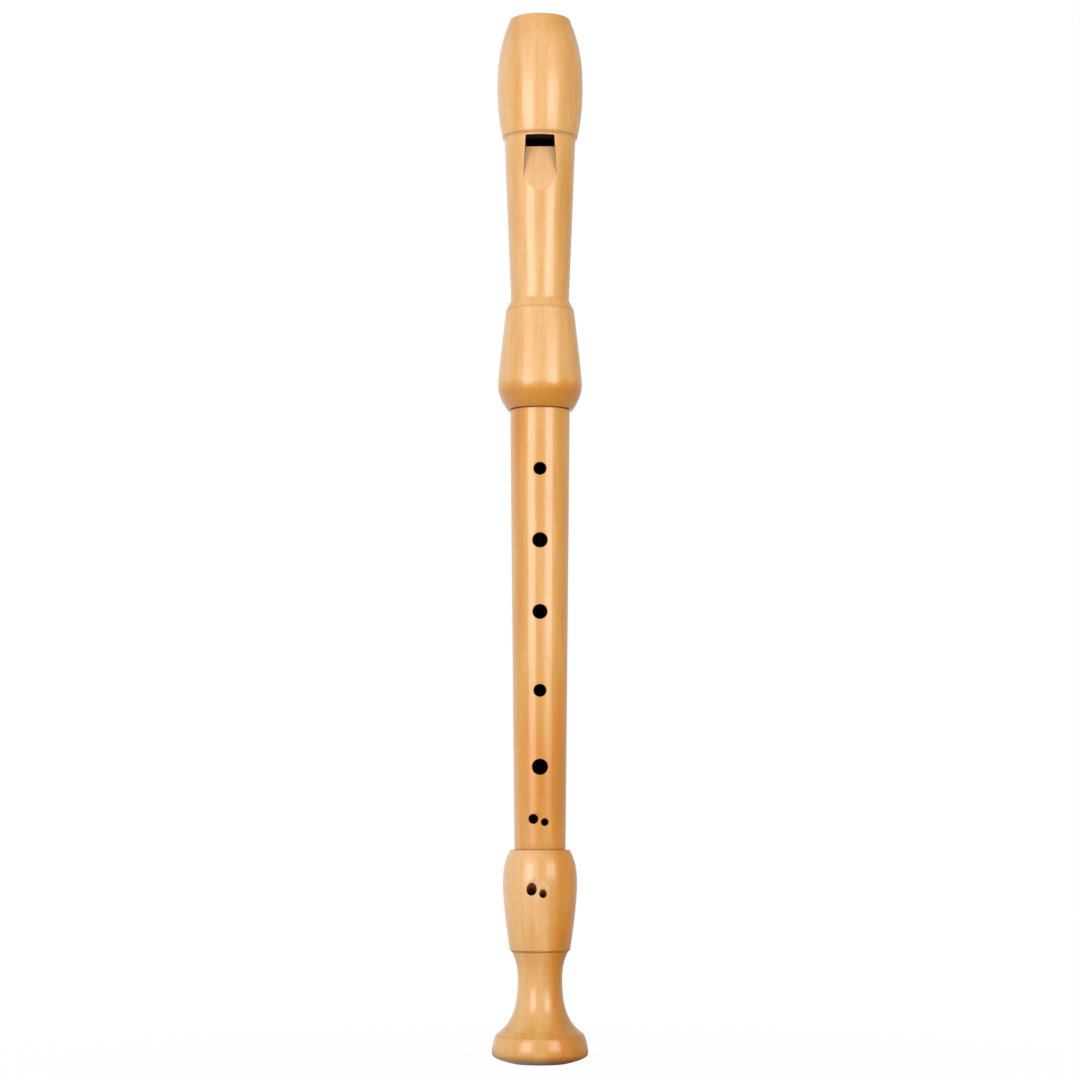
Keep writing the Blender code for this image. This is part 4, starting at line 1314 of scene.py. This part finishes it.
def make_floor(context):
    """Wide painted floor: white to the camera, and darker only where the recorder shades it.

    A reflection sees it as it sees the room beyond, but dimmer near the recorder.
    """
    half = 0.5 * FLOOR_SIZE
    corners = [(-half, -half, 0.0), (half, -half, 0.0), (half, half, 0.0), (-half, half, 0.0)]
    tones = context.scene.recorder_finish
    material, tree, shader, position = new_material("matt_white_floor")
    camera, seen = background_rays(tree)
    paint = add(tree, "Mix", {0: camera, 6: tones.floor_bounce, 7: tones.floor}, 2,
                data_type="RGBA")
    fill(tree, shader, {"Base Color": paint, "Roughness": 0.9, "Specular IOR Level": 0.0})
    away = add(tree, "VectorMath", [position], "Value", operation="LENGTH")
    fade = add(tree, "MapRange", [away, *WHITE_REACH, NEAR_WHITE, 1.0])
    share = add(tree, "Math", [fade, seen], operation="MULTIPLY")
    heading = add(tree, "VectorMath", [position], operation="NORMALIZE")
    near = add(tree, "MapRange", [away, *SHINE_REACH, NEAR_SHINE, 1.0])
    shine = add(tree, "Math", [side_level(tree, heading), near], operation="MULTIPLY")
    strength = add(tree, "Math", [camera, shine], operation="MAXIMUM")
    white = add(tree, "Emission", {"Color": (1.0, 1.0, 1.0), "Strength": strength})
    both = add(tree, "MixShader", [share, shader.outputs[0], white])
    fill(tree, tree.nodes["Material Output"], {"Surface": both})
    put_mesh("studio_floor", corners, [[0, 1, 2, 3]], [0], [material])


def make_lamp(name, azimuth, distance, height, width, tall, power, tint):
    """Softbox or card at an angle round the recorder, turned to face its axis."""
    lamp = bpy.data.lights.new(name, "AREA")
    lamp.shape = "RECTANGLE"
    lamp.size = width
    lamp.size_y = tall
    lamp.energy = power
    lamp.color = tint
    turn = math.radians(azimuth)
    holder = bpy.data.objects.new(name, lamp)
    holder.location = (distance * math.sin(turn), -distance * math.cos(turn), height)
    holder.rotation_euler = (math.radians(90.0), 0.0, turn)
    holder.visible_camera = False
    bpy.context.scene.collection.objects.link(holder)
    return holder


def make_lights(context):
    """Two softboxes that fade out upwards, and a large white card at each side."""
    tones = context.scene.recorder_finish
    for side, (turn, level, power) in SOFTBOXES.items():
        make_lamp(f"{side}_softbox", turn, SOFTBOX_DISTANCE, level, SOFTBOX_WIDTH,
                  SOFTBOX_HEIGHT, power, tones.key_light)
        above = level + 0.5 * (SOFTBOX_HEIGHT + SOFTBOX_FADE)
        make_lamp(f"{side}_softbox_top", turn, SOFTBOX_DISTANCE, above, SOFTBOX_WIDTH,
                  SOFTBOX_FADE, FADE_POWER * power, tones.key_light)
    for side, (turn, power) in CARDS.items():
        card = make_lamp(f"{side}_card", turn, CARD_DISTANCE, CARD_LEVEL, CARD_WIDTH,
                         CARD_HEIGHT, power, tones.fill_light)
        card.visible_glossy = False


def make_world(context):
    """White room: at full strength to the camera, and reflected brighter from the left."""
    world = bpy.data.worlds.new("white_room")
    world.use_nodes = True
    tree = world.node_tree
    camera, seen = background_rays(tree)
    heading = add(tree, "TexCoord", {}, "Generated")
    level = add(tree, "MapRange", {"Value": seen, "To Min": WORLD_LEVEL,
                                   "To Max": side_level(tree, heading)})
    strength = add(tree, "Math", [level, camera], operation="MAXIMUM")
    fill(tree, tree.nodes["Background"], {"Color": (1.0, 1.0, 1.0), "Strength": strength})
    context.scene.world = world


def make_camera(context):
    """Camera low in front of the recorder, tilted up a little, as in a catalogue picture."""
    lens = bpy.data.cameras.new("studio_camera")
    lens.lens = CAMERA_LENS
    lens.sensor_width = CAMERA_SENSOR
    camera = bpy.data.objects.new("studio_camera", lens)
    camera.location = (0.0, -CAMERA_DISTANCE, CAMERA_HEIGHT)
    camera.rotation_euler = (math.radians(90.0 + CAMERA_PITCH), 0.0, 0.0)
    context.scene.collection.objects.link(camera)
    context.scene.camera = camera


class RECORDER_PT_pieces(bpy.types.Panel):
    """Lists the recorder's pieces and its studio."""

    bl_label = "Alto recorder"
    bl_idname = "RECORDER_PT_pieces"
    bl_space_type = "VIEW_3D"
    bl_region_type = "UI"
    bl_category = "Recorder"

    def draw(self, context):
        for operator in OPERATORS:
            self.layout.operator(operator.bl_idname)


GROUPS = {
    "recorder_head": RECORDER_PG_head,
    "recorder_voice": RECORDER_PG_voice,
    "recorder_middle": RECORDER_PG_middle,
    "recorder_foot": RECORDER_PG_foot,
    "recorder_finish": RECORDER_PG_finish,
}
OPERATORS = (
    RECORDER_OT_head,
    RECORDER_OT_block,
    RECORDER_OT_middle,
    RECORDER_OT_corks,
    RECORDER_OT_foot,
    RECORDER_OT_stage,
)
CLASSES = (*GROUPS.values(), *OPERATORS, RECORDER_PT_pieces)


def register():
    """Register every class and hang the property groups on the scene."""
    for item in CLASSES:
        bpy.utils.register_class(item)
    for name, group in GROUPS.items():
        setattr(bpy.types.Scene, name, PointerProperty(type=group))


def unregister():
    """Take the property groups off the scene and unregister every class."""
    for name in GROUPS:
        delattr(bpy.types.Scene, name)
    for item in reversed(CLASSES):
        bpy.utils.unregister_class(item)


def main():
    """Make the recorder and its studio."""
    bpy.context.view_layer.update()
    register()
    bpy.ops.recorder.make_head()
    bpy.ops.recorder.make_block()
    bpy.ops.recorder.make_middle()
    bpy.ops.recorder.make_corks()
    bpy.ops.recorder.make_foot()
    bpy.ops.recorder.make_stage()


if __name__ == "__main__":
    main()
